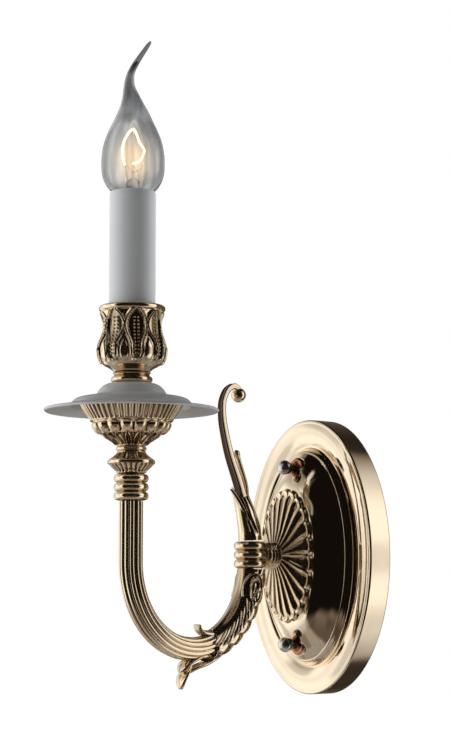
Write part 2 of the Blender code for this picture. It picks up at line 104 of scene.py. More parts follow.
class Graph:
    """A node tree filled from Python: a material's, the world's or a geometry recipe's."""

    def __init__(self, tree):
        self.tree = tree

    def add(self, kind, settings=None, *inputs, **named):
        """Add a node, set it up, fill its sockets with numbers or links, and give its first output."""
        node = self.tree.nodes.new(kind)
        for key, setting in (settings or {}).items():
            if key == "stops":
                ramp = node.color_ramp.elements
                while len(ramp) < len(setting):
                    ramp.new(0.5)
                for element, (position, colour) in zip(ramp, setting):
                    element.position = position
                    element.color = (*colour, 1)
            else:
                setattr(node, key, setting)
        sockets = [s for s in node.inputs if s.enabled]
        pairs = list(zip(sockets, inputs))
        for name, value in named.items():
            pairs.append((next(s for s in sockets if s.name == name.replace("_", " ")), value))
        for socket, value in pairs:
            if isinstance(value, Value):
                self.tree.links.new(value.socket, socket)
            else:
                socket.default_value = value
        outputs = [s for s in node.outputs if s.enabled]
        return Value(self, outputs[0]) if outputs else node

    def step(self, value, low, high):
        """A soft step from 0 to 1 between two levels of a value."""
        settings = {"interpolation_type": "SMOOTHSTEP"}
        return self.add("ShaderNodeMapRange", settings, value, low, high, 0.0, 1.0)

    def mix(self, factor, first, second):
        """A colour between two colours."""
        return self.add("ShaderNodeMix", {"data_type": "RGBA"}, factor, first, second)

    def noise(self, scale, detail=2.0, place=None):
        """Soft noise over an object's own space, or over the coordinates given."""
        if place is None:
            place = self.add("ShaderNodeTexCoord").out("Object")
        return self.add("ShaderNodeTexNoise", None, place, Scale=scale, Detail=detail)


def new_finish(name, **settings):
    """A new finish with its node graph and its shader, whose plain numbers are set here."""
    material = bpy.data.materials.new(name)
    material.use_nodes = True
    shader = material.node_tree.nodes["Principled BSDF"]
    for socket, value in settings.items():
        shader.inputs[socket.replace("_", " ")].default_value = value
    return material, Graph(material.node_tree), shader


def feed(graph, shader, colour=None, roughness=None, relief=None, height=0.00005, **others):
    """Link what varies over the surface to the shader, with relief going through a Bump node."""
    values = {"Base Color": colour, "Roughness": roughness, **others}
    if relief is not None:
        values["Normal"] = graph.add("ShaderNodeBump", None, 1.0, height, Height=relief)
    for name, value in values.items():
        if value is not None:
            graph.tree.links.new(value.socket, shader.inputs[name.replace("_", " ")])


OPENING_AZIMUTH = math.radians(52)
MATT_AZIMUTH = math.radians(67)
WALL_AZIMUTH = math.radians(-160)
scene.world = bpy.data.worlds.new("studio")
scene.world.use_nodes = True
scene.world.node_tree.nodes.clear()
tent = Graph(scene.world.node_tree)
sky = tent.add("ShaderNodeTexCoord").out("Generated")
toward = tent.add("ShaderNodeSeparateXYZ", None, sky)
height = toward.out("Z")
ray = tent.add("ShaderNodeLightPath")
matt = ray.out("Is Diffuse Ray")


def facing(azimuth):
    """How far a direction of the tent faces an azimuth, from -1 to 1."""
    return toward.out("X") * math.sin(azimuth) - toward.out("Y") * math.cos(azimuth)


opening = facing(OPENING_AZIMUTH) * (1 - matt) + facing(MATT_AZIMUTH) * matt
table = tent.step(0 - height, 0.50, 0.62)
wall = tent.step(facing(WALL_AZIMUTH), 0.56, 0.61) * 0.92
rear = tent.step(0 - opening, 0.2, 1.0) * 0.5
folds = tent.noise(2.4, 0.0, sky)
cloth = (1 - tent.step(opening, 0.40, 0.50) * (1 - table * 0.3)) * (1 - wall * (1 - matt)) * (1 - rear * matt)
cloth = cloth * (1 - tent.step(height, 0.30, 0.82) * 0.80) * (1 - tent.step(height, 0.76, 0.80))
cloth = cloth * (1 - tent.step(0 - height, 0.30, 0.78) * 0.70) * (1.08 - tent.step(folds, 0.40, 0.64) * 0.42)
glow = (cloth * 1.08 + 0.006) * (1 + matt * 1.25)
seen = ray.maths("MAXIMUM", ray.out("Is Camera Ray"), ray.out("Is Transmission Ray"))
strength = seen + (1 - seen) * glow
tint = tent.mix(tent.step(strength, 0.0, 0.7), (1.0, 0.80, 0.64, 1), (1.0, 1.0, 1.0, 1))
tent.add("ShaderNodeOutputWorld", None, tent.add("ShaderNodeBackground", None, tint, strength))

bpy.ops.mesh.primitive_circle_add(vertices=96, radius=FLOOR_RADIUS, fill_type="NGON",
                                  location=(0, 0, FLOOR_Z))
floor = bpy.context.active_object
floor.name = "floor"
floor_finish, graph, shader = new_finish("pale_floor", Roughness=0.7)
feed(graph, shader, graph.mix(graph.noise(60.0), (0.80, 0.80, 0.79, 1), (0.84, 0.84, 0.83, 1)))
floor.data.materials.append(floor_finish)

# ---------------------------------------------------------------- Wall strap and fixing studs
# A zinc-plated steel strap is screwed to the wall, and two threaded studs stand out from it. A hex
# nut locks each stud, and a slotted brass earth screw sits above the middle.
MM = 0.001
STUD_Z = 51.0
LEVELS = (("upper", (0, STUD_Z)), ("lower", (0, -STUD_Z)))
STUD_R = 1.98
EARTH_Z = 40.0
STEEL = (0.62, 0.63, 0.64, 1)
# Dull zinc for the plating's cloudy bloom, also used as painted shade in thread troughs.
ZINC_BLOOM_AND_SHADE = (0.47, 0.48, 0.51, 1)
BRASS = (0.80, 0.60, 0.28, 1)
# Dull brass for cloudy tarnish, also used as painted shade in screw slots.
TARNISH_AND_SHADE = (0.50, 0.33, 0.14, 1)


def direction(start, end):
    """The unit vector from one point to another, or zero where they are the same."""
    length = np.linalg.norm(end - start)
    return (end - start) / length if length > 1e-6 else np.zeros_like(start)


def tangent(along, length, start, end):
    """The tangent between a span and its neighbour, which has no length at a corner."""
    neighbour = direction(start, end)
    if not neighbour.any():
        return along * length
    return (neighbour + along) / 2 * min(length, np.linalg.norm(end - start))


def line(points, step=0.5):
    """Close points on a smooth line through the given ones. A point given twice makes a corner."""
    points = [np.array(p, float) for p in points]
    chain = [points[0], *points, points[-1]]
    path = []
    for before, start, end, after in zip(chain, chain[1:], chain[2:], chain[3:]):
        length = np.linalg.norm(end - start)
        if length < 1e-6:
            continue
        along = direction(start, end)
        leaving = tangent(along, length, before, start)
        arriving = tangent(along, length, end, after)
        count = max(1, round(length / step))
        for t in np.arange(count) / count:
            path.append((1 + 2 * t) * (1 - t) ** 2 * start + t * (1 - t) ** 2 * leaving
                        + t * t * (3 - 2 * t) * end + t * t * (t - 1) * arriving)
    path.append(points[-1])
    return np.array(path)


def cornered(*points):
    """The points with each given twice, so that a line through them turns sharply at every one."""
    return [point for point in points for _ in range(2)]


def around(columns):
    """Angles all the way round, for one loop of a shell."""
    return np.linspace(0, math.tau, columns, endpoint=False)


def loops(x, y, z):
    """Points from three coordinates, any of which may be a single number."""
    return np.stack(np.broadcast_arrays(x, y, z), -1)


def wall_ring(half_w, half_h, depth, turn, centre=(0.0, 0.0)):
    """An oval loop parallel to the wall, at a depth out from it."""
    return loops(centre[0] + half_w * np.cos(turn), -depth, centre[1] + half_h * np.sin(turn))


def shell(grid, ring=False, recess=0.0):
    """A closed shell over rows of points in millimetres. Each row is a loop, capped or ringed."""
    rows, columns = grid.shape[:2]
    points = grid.reshape(-1, 3)
    number = np.arange(rows * columns).reshape(rows, columns)
    if ring:
        number = np.vstack([number, number[:1]])
    number = np.hstack([number, number[:, :1]])
    quads = np.stack([number[:-1, :-1], number[:-1, 1:], number[1:, 1:], number[1:, :-1]], -1).reshape(-1, 4)
    a, b, c, d = (points[quads[:, k]] for k in range(4))
    volume = np.sum(a * np.cross(b, c)) + np.sum(a * np.cross(c, d))
    faces = quads.tolist()
    if not ring:
        for row, loop in ((grid[0], number[0]), (grid[-1], number[-1][::-1])):
            middle = row.mean(0)
            for start, end in zip(loop[:-1], loop[1:]):
                faces.append([len(points), end, start])
                volume += np.dot(middle, np.cross(points[end], points[start]))
            points = np.vstack([points, middle])
    if volume < 0:
        faces = [face[::-1] for face in faces]
    depth = np.zeros(len(points))
    depth[:rows * columns] = np.broadcast_to(recess, (rows, columns)).ravel()
    return points, faces, depth


def enrol(name, mesh, body):
    """Put a piece into the scene from its mesh, riding on a body."""
    piece = bpy.data.objects.new(name, mesh)
    scene.collection.objects.link(piece)
    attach(piece, body)
    return piece


def make(name, shells, finish, *nodes, body="fixture", slot="french_gold", corner=42):
    """One piece from its shells, with its finish, standing for its CAD nodes."""
    points = np.vstack([s[0] for s in shells]) * MM
    starts = np.cumsum([0] + [len(s[0]) for s in shells])
    faces = [[v + start for v in face] for start, s in zip(starts, shells) for face in s[1]]
    mesh = bpy.data.meshes.new(name)
    mesh.from_pydata(points.tolist(), [], faces)
    mesh.shade_smooth()
    mesh.set_sharp_from_angle(angle=math.radians(corner))
    # The recess attribute carries painted shade for hollows, grooves and slots.
    mesh.attributes.new("recess", "FLOAT", "POINT").data.foreach_set(
        "value", np.clip(np.concatenate([s[2] for s in shells]), 0, 1))
    mesh.materials.append(finish)
    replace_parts(enrol(name, mesh, body), *nodes)


def turned(outline, columns=96, relief=None, axis="up", centre=(0.0, 0.0), ring=False):
    """A shell turned from an outline of (radius, place), followed upwards on its outer side.

    The axis points up, or out of the wall. relief(turn, outline) gives how far the surface is pushed
    out, in millimetres, and how recessed it is. A ring's outline closes on itself round a bore.
    """
    outline = np.array(outline, float)
    slope = np.roll(outline, -1, 0) - np.roll(outline, 1, 0) if ring else np.gradient(outline, axis=0)
    slope = slope / np.maximum(np.linalg.norm(slope, axis=1, keepdims=True), 1e-9)
    turn = around(columns)[None, :]
    push, recess = relief(turn, outline) if relief else (0.0, 0.0)
    radius = outline[:, :1] + slope[:, 1:] * push
    place = outline[:, 1:] - slope[:, :1] * push
    if axis == "up":
        grid = loops(centre[0] + radius * np.cos(turn), centre[1] + radius * np.sin(turn), place)
    else:
        grid = wall_ring(radius, radius, place, turn, centre)
    return shell(grid, ring, recess)


def thread(pitch, depth, low, high):
    """Relief for a screw thread between two places on a turned rod."""
    def relief(turn, outline):
        place = outline[:, 1:]
        tooth = np.abs(((place + pitch * turn / math.tau) / pitch) % 1 - 0.5) * 2
        cut = tooth * depth * ((place > low) & (place < high) & (outline[:, :1] > 0.5))
        # The recess is painted shade in the thread's troughs.
        return -cut, cut / depth * 0.7
    return relief


def metal(name, bright, dull, polish, spread=0.10, grit=1400.0, patina=0.5, pure=1.0):
    """A metal with cloudy patches of dull tone, painted shade in its hollows and a fine grain in its polish.
    """
    material, graph, shader = new_finish(name, Metallic=pure)
    grain = graph.noise(grit)
    hollow = graph.add("ShaderNodeAttribute", {"attribute_name": "recess"}).out("Fac")
    # The recess attribute darkens hollows towards the dull colour: painted shade, beside the real cloudy
    # patches.
    shade = hollow.maths("MAXIMUM", hollow, graph.step(graph.noise(95.0, 4.0), 0.45, 0.8) * patina)
    roughness = polish + grain * spread + hollow * 0.12
    feed(graph, shader, graph.mix(shade, bright, dull), roughness, grain, 0.000004)
    return material


def refinish(material, *nodes):
    """Give a finish to CAD nodes whose shape is right as it is."""
    for node in nodes:
        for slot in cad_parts[node].material_slots:
            slot.material = material


def hexagon(radius, low, high, bore, centre):
    """A chamfered hex nut about an axis that points out of the wall."""
    turn = around(48)
    flat = math.cos(math.pi / 6) / np.cos((turn + math.pi / 6) % (math.pi / 3) - math.pi / 6)
    rows = []
    for limit, place in ((0.86, low), (1.0, low + 0.5), (1.0, high - 0.5), (0.86, high)):
        reach = radius * np.minimum(flat, limit)
        rows.append(wall_ring(reach, reach, place, turn, centre))
    for place in (high, low):
        rows.append(wall_ring(bore, bore, place, turn, centre))
    return shell(np.array(rows), ring=True)


def screw_head(radius, low, high, centre, slot_width=0.9, slot_depth=0.8):
    """A domed screw head with one straight driver slot."""
    def relief(turn, outline):
        x = outline[:, :1] * np.sin(turn)
        inside = (np.abs(x) < slot_width / 2) & (outline[:, 1:] > (low + high) / 2)
        # Painted shade in the driver slot.
        return -slot_depth * inside, inside * 0.8
    outline = line([(radius * 0.9, low), (radius, low + 0.3), (radius, high - 0.9),
                    (radius * 0.86, high - 0.25), (radius * 0.5, high), (0.1, high)], 0.18)
    return turned(outline, 72, relief, "out", centre)


zinc = metal("zinc_plate", STEEL, ZINC_BLOOM_AND_SHADE, 0.24)
plain_brass = metal("plain_brass", BRASS, TARNISH_AND_SHADE, 0.22)
refinish(zinc, "wall_bracket")
stud_corners = cornered((0.3, 0.4), (1.6, 0.4), (STUD_R, 0.8), (STUD_R, 30.4), (1.5, 30.95), (0.3, 30.95))
for level, place in LEVELS:
    stud = turned(line(stud_corners, 0.12), 28, thread(0.7, 0.28, 1.0, 30.2), "out", place)
    make(f"{level}_stud_threaded", [stud], zinc, f"{level}_stud", slot="zinc_steel")
for level, place in LEVELS:
    make(f"{level}_stud_hex_nut", [hexagon(4.0, 2.8, 5.6, 2.25, place)], zinc,
         f"{level}_stud_nut", slot="zinc_steel", corner=25)
make("earth_screw_slotted", [screw_head(3.55, 2.85, 6.15, (0, EARTH_Z))], plain_brass,
     "earth_screw", slot="plain_brass")

# ---------------------------------------------------------------- Terminal block
# A moulded white plastic connector joins the supply to the lamp's two-core lead. Three brass screws
# in a row clamp the wires, and the block is moulded with a raised collar round each one.
BLOCK_SIZE = (17.6, 12.4, 15.6)
BLOCK_MIDDLE = (0.0, -9.2, 0.0)
SCREW_PLACES = [(x, 2.6) for x in (-5.6, 0.0, 5.6)]
COLLAR_OUTLINE = [(1.6, 15.2), (2.1, 15.2), (2.3, 15.3), (2.3, 15.5), (1.6, 15.5)]


def moulded(name, dark, pale, polish, spread, grit, detail, relief, refraction=1.5):
    """A moulded plastic whose tone and polish vary in fine specks."""
    material, graph, shader = new_finish(name, IOR=refraction)
    speck = graph.noise(grit, detail)
    feed(graph, shader, graph.mix(speck, dark, pale), polish + speck * spread, speck, relief)
    return material


def slab(size, middle, softness=0.8, columns=48):
    """A block with rounded upright edges, lofted from rounded-rectangle rings."""
    turn = around(columns)
    round_x = np.sign(np.cos(turn)) * np.abs(np.cos(turn)) ** 0.18
    round_z = np.sign(np.sin(turn)) * np.abs(np.sin(turn)) ** 0.18
    rows = []
    for inset, depth in ((softness, -0.5), (0.2, -0.5 + softness / size[1]), (0, -0.42), (0, 0.42),
                         (0.2, 0.5 - softness / size[1]), (softness, 0.5)):
        rows.append(loops(middle[0] + (size[0] / 2 - inset) * round_x, middle[1] + size[1] * depth,
                          middle[2] + (size[2] / 2 - inset) * round_z))
    return shell(np.array(rows))


moulding = moulded("terminal_moulding", (0.70, 0.69, 0.64, 1), (0.80, 0.79, 0.75, 1), 0.38, 0.15, 900.0, 3.0,
                   0.00002)
collars = [turned(COLLAR_OUTLINE, 32, None, "out", place, True) for place in SCREW_PLACES]
make("terminal_block_moulded", [slab(BLOCK_SIZE, BLOCK_MIDDLE), *collars], moulding,
     "terminal_block", slot="terminal_plastic", corner=35)
make("terminal_screws", [screw_head(1.4, 14.6, 15.6, place, 0.4, 0.4) for place in SCREW_PLACES], plain_brass,
     slot="plain_brass")

# ---------------------------------------------------------------- Backplate
# The oval plate is pressed from brass sheet, polished and plated in pale french gold under lacquer.
# A broad band runs round its edge, then a fine ridge, and the middle swells out in a smooth dome.
PLATE_HALF_W = 53.0
PLATE_HALF_H = 80.0
FIELD_HALF_W = 36.0
FIELD_HALF_H = 63.0
FLAT_HALF_W = 20.5
FLAT_HALF_H = 37.5
FLAT_DEPTH = 31.0
PLATE_EDGE = [(0.3, 0.0), (0.0, 0.4), (0.0, 0.4), (0.0, 14.9), (0.0, 14.9), (0.12, 15.3), (0.45, 15.6),
              (0.45, 15.6), (1.5, 15.85), (2.1, 15.75), (2.1, 15.75), (2.5, 15.9), (4.4, 16.3), (6.6, 16.5),
              (8.8, 16.4), (11.0, 16.0), (13.4, 15.2), (15.4, 14.3), (16.2, 14.1), (16.2, 14.1), (17.0, 15.0)]
DOME_DEPTH = [(0.0, 15.0), (0.04, 16.6), (0.07, 17.8), (0.09, 18.1), (0.11, 18.15), (0.13, 18.6), (0.2, 20.1),
              (0.3, 22.3), (0.45, 25.0), (0.6, 27.4), (0.8, 29.8), (0.93, 30.8), (1.0, FLAT_DEPTH)]
SHEET = 1.2
GILT = (0.93, 0.785, 0.585, 1)
CAST_GILT = (1.0, 0.82, 0.58, 1)
# Dull brown for the gilt's cloudy patina, also used as painted shade in the hollows of cast parts.
UMBER_PATINA_AND_SHADE = (0.13, 0.058, 0.022, 1)
# Near-black for the scroll's cloudy patina, also used as painted shade in the rod's channel.
DARK_PATINA_AND_CHANNEL_SHADE = (0.05, 0.027, 0.015, 1)
GROOVE_SHADE = (0.44, 0.25, 0.11, 1)
COPPER_SHADE = (0.60, 0.27, 0.14, 1)

gilding = metal("french_gold_polished", GILT, UMBER_PATINA_AND_SHADE, 0.045, 0.04, 2200.0, 0.08)
cast_gilding = metal("french_gold_cast", CAST_GILT, UMBER_PATINA_AND_SHADE, 0.08, 0.06, 1500.0, 0.10, 0.97)
turned_gilding = metal("french_gold_turned", CAST_GILT, GROOVE_SHADE, 0.08, 0.06, 1500.0, 0.15, 0.96)
scroll_gilding = metal("french_gold_antiqued", CAST_GILT, DARK_PATINA_AND_CHANNEL_SHADE, 0.10, 0.07, 1500.0, 0.12, 0.97)
seat_gilding = metal("french_gold_seat", GILT, COPPER_SHADE, 0.10, 0.08, 1500.0, 0.10)


def plate_ring(half_w, half_h, depth):
    """An oval loop of the plate."""
    return wall_ring(half_w, half_h, depth, around(240))


edge = line(PLATE_EDGE, 0.35)
outside = [plate_ring(PLATE_HALF_W - inset, PLATE_HALF_H - inset, depth) for inset, depth in edge]
for share, depth in line(DOME_DEPTH, 0.5)[1:]:
    outside.append(plate_ring(FIELD_HALF_W - 15.5 * share, FIELD_HALF_H - 25.5 * share, depth))
for scale in (0.9, 0.7, 0.5, 0.32):
    outside.append(plate_ring(FLAT_HALF_W * scale, FLAT_HALF_H * scale, FLAT_DEPTH))
outside.append(plate_ring(5.2, 5.2, FLAT_DEPTH))
inside = [row + (0, SHEET, 0) for row in reversed(outside) if row[0, 0] < PLATE_HALF_W - 2]
inner_wall = [plate_ring(PLATE_HALF_W - SHEET, PLATE_HALF_H - SHEET, depth) for depth in (12.6, 6.0, 0.0)]
make("backplate_pressed", [shell(np.array(outside + inside + inner_wall), ring=True)], gilding, "backplate")

# ---------------------------------------------------------------- Nut seats and ball nuts
# Over each stud a small turned seat stands on the dome, with a painted copper-toned shade on its neck for
# the reddish reflection there. A polished nickel ball nut screws down on it by hand and holds the whole plate
# to the wall strap.
NICKEL = (0.80, 0.77, 0.74, 1)
NICKEL_SHADE = (0.52, 0.45, 0.40, 1)
BALL_NUT_R = 4.5
BALL_NUT_MIDDLE = 33.1


def shaded(start, run, most=1.0):
    """No relief, but a recess of painted shade that grows from a place upwards, for a neck."""
    def relief(turn, outline):
        return 0.0, most * np.clip((outline[:, 1:] - start) / run, 0, 1)
    return relief


nickel = metal("polished_nickel", NICKEL, NICKEL_SHADE, 0.15, 0.08, 2400.0, 0.2, 0.92)
ball = [(BALL_NUT_R * math.cos(a), BALL_NUT_MIDDLE + BALL_NUT_R * math.sin(a))
        for a in np.radians(np.linspace(-44, 89, 30))]
nut_outline = [(2.2, 28.9), (3.1, 28.9), (3.1, 29.3), *ball]
seat_outline = line([(2.6, 22.0), (6.6, 22.0), (6.6, 22.0), (6.5, 23.4), (5.7, 24.6), (4.4, 25.2),
                     (3.6, 25.8), (3.4, 26.8), (3.4, 28.6), (3.4, 28.6), (2.6, 28.6)], 0.3)
for level, place in LEVELS:
    make(f"{level}_nut_seat_turned", [turned(seat_outline, 64, shaded(23.5, 1.5), "out", place, True)],
         seat_gilding, f"{level}_nut_seat")
    make(f"{level}_ball_nut", [turned(nut_outline, 64, None, "out", place)], nickel,
         f"{level}_cap_nut", body=f"{level}_nut", slot="polished_nickel")

# ---------------------------------------------------------------- Shell rosette
# An oval cast rosette covers the middle of the dome. Its flutes fan out from the boss, and each one
# ends in a raised, rounded scallop at the rim.
ROSETTE_HALF_W = 22.0
ROSETTE_HALF_H = 39.0
ROSETTE_BACK = 31.3
FLUTES = 22
ROSETTE_RISE = [(0.0, 0.2), (0.03, 1.6), (0.07, 2.4), (0.12, 2.8), (0.25, 4.0), (0.5, 5.6), (0.75, 7.2),
                (0.9, 8.6), (1.0, 9.6)]
EYE_R = 5.4


def rosette_oval(share, scale=1.0):
    """The half width and half height of an oval, from the rim at share 0 to the eye at share 1."""
    return [EYE_R + (half * scale - EYE_R) * (1 - share) for half in (ROSETTE_HALF_W, ROSETTE_HALF_H)]


turn = around(FLUTES * 20)
beside = np.abs((turn * FLUTES / math.tau) % 1 - 0.5) * 2
rows = []
hollows = []
for share in np.concatenate([np.linspace(0, 0.14, 18), np.linspace(0.16, 1, 44)]):
    scallop = 1 - 0.055 * beside ** 3 * (1 - share) ** 2
    rise = np.interp(share, *zip(*ROSETTE_RISE))
    inward = np.clip((share - 0.035) / 0.10, 0, 1)
    scoop = (1 - beside ** 2.2) * inward ** 1.5 * (1.7 * (1 - share) + 0.5)
    rim = 0.6 * math.exp(-((share - 0.04) / 0.025) ** 2)
    notch = 0.9 * beside ** 6 * (1 - inward)
    depth = ROSETTE_BACK + np.maximum(rise + 0.5 * inward + rim - scoop - notch, 0.05)
    half_w, half_h = rosette_oval(share)
    rows.append(wall_ring(half_w * scallop, half_h * scallop, depth, turn))
    # Painted shade down the middle of each flute and towards the eye.
    hollows.append(0.12 * (1 - beside) * inward + 0.35 * share ** 4)
for share in np.linspace(1, 0, 8):
    rows.append(wall_ring(*rosette_oval(share, 0.92), ROSETTE_BACK, turn))
    hollows.append(0 * turn)
make("shell_rosette_fluted", [shell(np.array(rows), True, np.array(hollows))], cast_gilding,
     "shell_rosette", corner=60)

# ---------------------------------------------------------------- Boss, threaded tube and lock nut
# A hollow threaded tube carries the arm through the plate, with a toothed washer and a hex nut
# behind it. A turned boss with three fine rings covers the tube between rosette and hub.
TUBE_R = 4.8
TUBE_BORE_R = 3.4
BOSS = [(5.1, 38.2), (5.9, 38.2), (5.9, 41.4), (6.9, 41.9), (7.6, 42.9), (6.9, 43.9), (6.6, 44.2),
        (7.6, 45.3), (6.6, 46.4), (7.6, 47.5), (6.6, 48.6), (7.1, 49.4), (6.9, 50.1), (5.1, 50.1)]
WASHER_BORE_R = 5.2
WASHER_LOW = 27.85
WASHER_HIGH = 29.4


def threaded_tube(low, high, step, columns, **placing):
    """A hollow tube with chamfered ends, threaded all the way along."""
    outline = cornered((TUBE_BORE_R, low), (4.4, low), (TUBE_R, low + 0.5), (TUBE_R, high - 0.5), (4.4, high),
                       (TUBE_BORE_R, high))
    screw = thread(1.0, 0.35, low + 0.4, high - 0.4)
    return turned(line(outline, step), columns, screw, ring=True, **placing)


make("boss_three_rings", [turned(line(BOSS, 0.18), 72, None, "out", ring=True)], turned_gilding,
     "boss_collar")
make("arm_tube_threaded", [threaded_tube(20, 54, 0.2, 48, axis="out")], zinc, "arm_nipple", slot="zinc_steel")
make("arm_hex_nut", [hexagon(8.08, 24.05, 27.45, 5.1, (0, 0))], zinc,
     "arm_lock_nut", slot="zinc_steel", corner=25)
turn = around(120)
teeth = 8.2 + 0.7 * np.sign(np.sin(turn * 15)) * np.abs(np.sin(turn * 15)) ** 0.4
washer = [wall_ring(radius, radius, depth, turn)
          for radius, depth in ((WASHER_BORE_R, WASHER_LOW), (teeth, WASHER_LOW), (teeth, WASHER_HIGH),
                                (WASHER_BORE_R, WASHER_HIGH))]
make("arm_toothed_washer", [shell(np.array(washer), ring=True)], zinc,
     "arm_lock_washer", slot="zinc_steel", corner=25)

# ---------------------------------------------------------------- Hub
# The cast hub joins the arm, the scroll and the boss. It is a short upright drum with three bold
# rings, polished on their crowns, with painted shade in the grooves.
HUB_Y = -60.0
HUB_GROOVE_R = 7.3
HUB_CROWN_R = 9.35


def ringed(groove, crown, low, pitch, count, bore=0.3):
    """The outline of a drum with a number of bold rings, from its lowest place up."""
    outline = cornered((bore, low), (groove - 0.4, low))
    for ring in range(count):
        for a in np.radians(np.linspace(-80, 80, 13)):
            radius = groove + (crown - groove) * math.cos(a)
            outline.append((radius, low + pitch * (ring + 0.5 + 0.46 * math.sin(a))))
    high = low + pitch * count
    return np.array(outline + cornered((groove - 0.4, high), (bore, high)))


def in_groove(groove, crown):
    """Painted shade that grows towards the bottom of the grooves of a ringed drum."""
    def relief(turn, outline):
        return 0.0, np.clip(1.15 - 1.6 * (outline[:, :1] - groove) / (crown - groove), 0, 1)
    return relief


hub = turned(ringed(HUB_GROOVE_R, HUB_CROWN_R, -7.6, 5.07, 3), 96, in_groove(HUB_GROOVE_R, HUB_CROWN_R),
             centre=(0, HUB_Y))
stub = turned([(6.2, 50.3), (6.4, 50.6), (6.4, 57.0), (0.2, 57.0)], 64, None, "out")
make("arm_hub_ringed", [hub, stub], turned_gilding, "arm_hub")

# ---------------------------------------------------------------- Scroll and its leaf sheath
# A square-backed rod with a channel down its face, darkened by painted shade, rises from the hub and curls
# over into a ball. A cast sheath with two leaf tongues wraps its foot, and a thin stem with a bud runs up its
# back.
SCROLL_LINE = [(-60, 8.3), (-60.4, 14), (-63.6, 25), (-69, 40.5), (-76.2, 58), (-80.8, 76), (-80.9, 86.5),
               (-77.6, 93.4), (-72.6, 96.3), (-68.9, 94.6)]
STEM_LINE = [(-62.2, 30), (-63.3, 40), (-67.0, 50), (-70.8, 59.5)]
BALL_MIDDLE = (0, -68.6, 91.2)
BALL_R = 4.2
SHEATH_SHARE = 0.27
FRONT_LINE = [(-63.0, 12), (-66.2, 20), (-69.6, 29), (-72.6, 35.2), (-74.6, 37.4)]
BACK_LINE = [(-56.4, 11), (-56.6, 18), (-59.0, 27), (-62.6, 35)]


def swept(path, section, columns):
    """A shell along a path of (y, z) in the middle plane.

    section(share, turn) gives the reach along the path's left-hand side, the reach across, and the recess.
    """
    path = np.array(path)
    slope = np.gradient(path, axis=0)
    slope /= np.linalg.norm(slope, axis=1, keepdims=True)
    run = np.concatenate([[0], np.cumsum(np.linalg.norm(np.diff(path, axis=0), axis=1))])
    out, across, recess = section(run[:, None] / run[-1], around(columns)[None, :])
    grid = loops(across, path[:, :1] + slope[:, 1:] * out, path[:, 1:] - slope[:, :1] * out)
    return shell(grid, recess=recess)


def bump(value, middle, width):
    """A smooth bump of height 1 round a middle value."""
    return np.exp(-((value - middle) / width) ** 2)


def squared(wave, power):
    """A sine wave pushed towards a square one, for a rod with flat faces."""
    return np.sign(wave) * np.abs(wave) ** power


def rod_section(share, turn):
    """A strap with its corners rounded, and a channel down its face darkened with painted shade."""
    radius = 1.5 * (1 - share) ** 1.4 + 1.85 + 0.1 * share
    channel = bump(np.sin(turn), 0, 0.70) * (np.cos(turn) < 0)
    along = (radius - 0.7 * channel) * squared(np.cos(turn), 0.6)
    return along, 1.05 * radius * squared(np.sin(turn), 0.6), np.clip(channel * 1.7, 0, 1)


def stem_section(share, turn):
    """A thin round stem with a bud near its end."""
    radius = 1.3 + 0.55 * bump(share, 0.93, 0.06) - 1.1 * np.clip((share - 0.96) / 0.04, 0, 1) ** 2
    return radius * np.cos(turn), radius * np.sin(turn), 0.0


def ball_shell(middle, radius, columns=40):
    """A closed ball about a middle."""
    turn = around(columns)
    rows = []
    for a in np.linspace(-math.pi / 2 + 0.06, math.pi / 2 - 0.06, columns // 2):
        rows.append(loops(middle[0] + radius * np.sin(a), middle[1] + radius * math.cos(a) * np.cos(turn),
                          middle[2] + radius * math.cos(a) * np.sin(turn)))
    return shell(np.array(rows))


def sheath_section(share, turn):
    """A sheath of leaves round the rod's foot, with slits between their veins, and painted shade in the slits
    and seams.
    """
    side = np.abs((turn + math.pi) % math.tau - math.pi)
    front = math.pi - side
    swell = 6.9 + 0.5 * np.sin(math.pi * share) - 2.6 * share
    edge = 1.15 - 0.45 * share
    seam = bump(front, edge, 0.16)
    slit = np.clip(np.cos((front + 0.9 * share) * 7.5) - 0.15, 0, 1)
    slit = slit * (front > edge + 0.1) * np.clip(share * 5 - 0.4, 0, 1)
    radius = swell - 0.8 * seam * np.clip(share * 4, 0, 1) - 0.9 * slit
    recess = np.maximum(seam, slit * 1.2) * np.clip(share * 5, 0, 1)
    return radius * np.cos(turn), radius * np.sin(turn) * 0.95, recess


def leaf_tongue(reach, width, thick, curl):
    """One leaf: a tongue that narrows to a point, with a mid rib and turned-up edges."""
    def section(share, turn):
        half = width * np.clip(1 - share ** 2.6, 0.04, 1) * (0.72 + 0.28 * np.sin(math.pi * share))
        cup = curl * np.cos(turn) ** 2 * (1 - share)
        rib = 0.35 * bump(np.cos(turn), 0, 0.18) * (np.sin(turn) > 0)
        # Painted shade in a line beside the mid rib.
        recess = 0.5 * bump(np.cos(turn), 0.35, 0.1)
        return reach + thick * np.sin(turn) + cup + rib, half * np.cos(turn), recess
    return section


scroll_line = line(SCROLL_LINE, 0.6)
make("scroll_rod", [swept(scroll_line, rod_section, 64), swept(line(STEM_LINE, 0.5), stem_section, 24),
                    ball_shell(BALL_MIDDLE, BALL_R)], scroll_gilding, "scroll", corner=50)
make("scroll_leaf_sheath", [swept(scroll_line[:int(len(scroll_line) * SHEATH_SHARE)], sheath_section, 160),
                            swept(line(FRONT_LINE, 0.4), leaf_tongue(0.2, 5.0, 1.0, 1.4), 48),
                            swept(line(BACK_LINE, 0.4), leaf_tongue(-0.4, 4.2, 1.0, -1.6), 48)], cast_gilding,
     "scroll_leaf", corner=55)

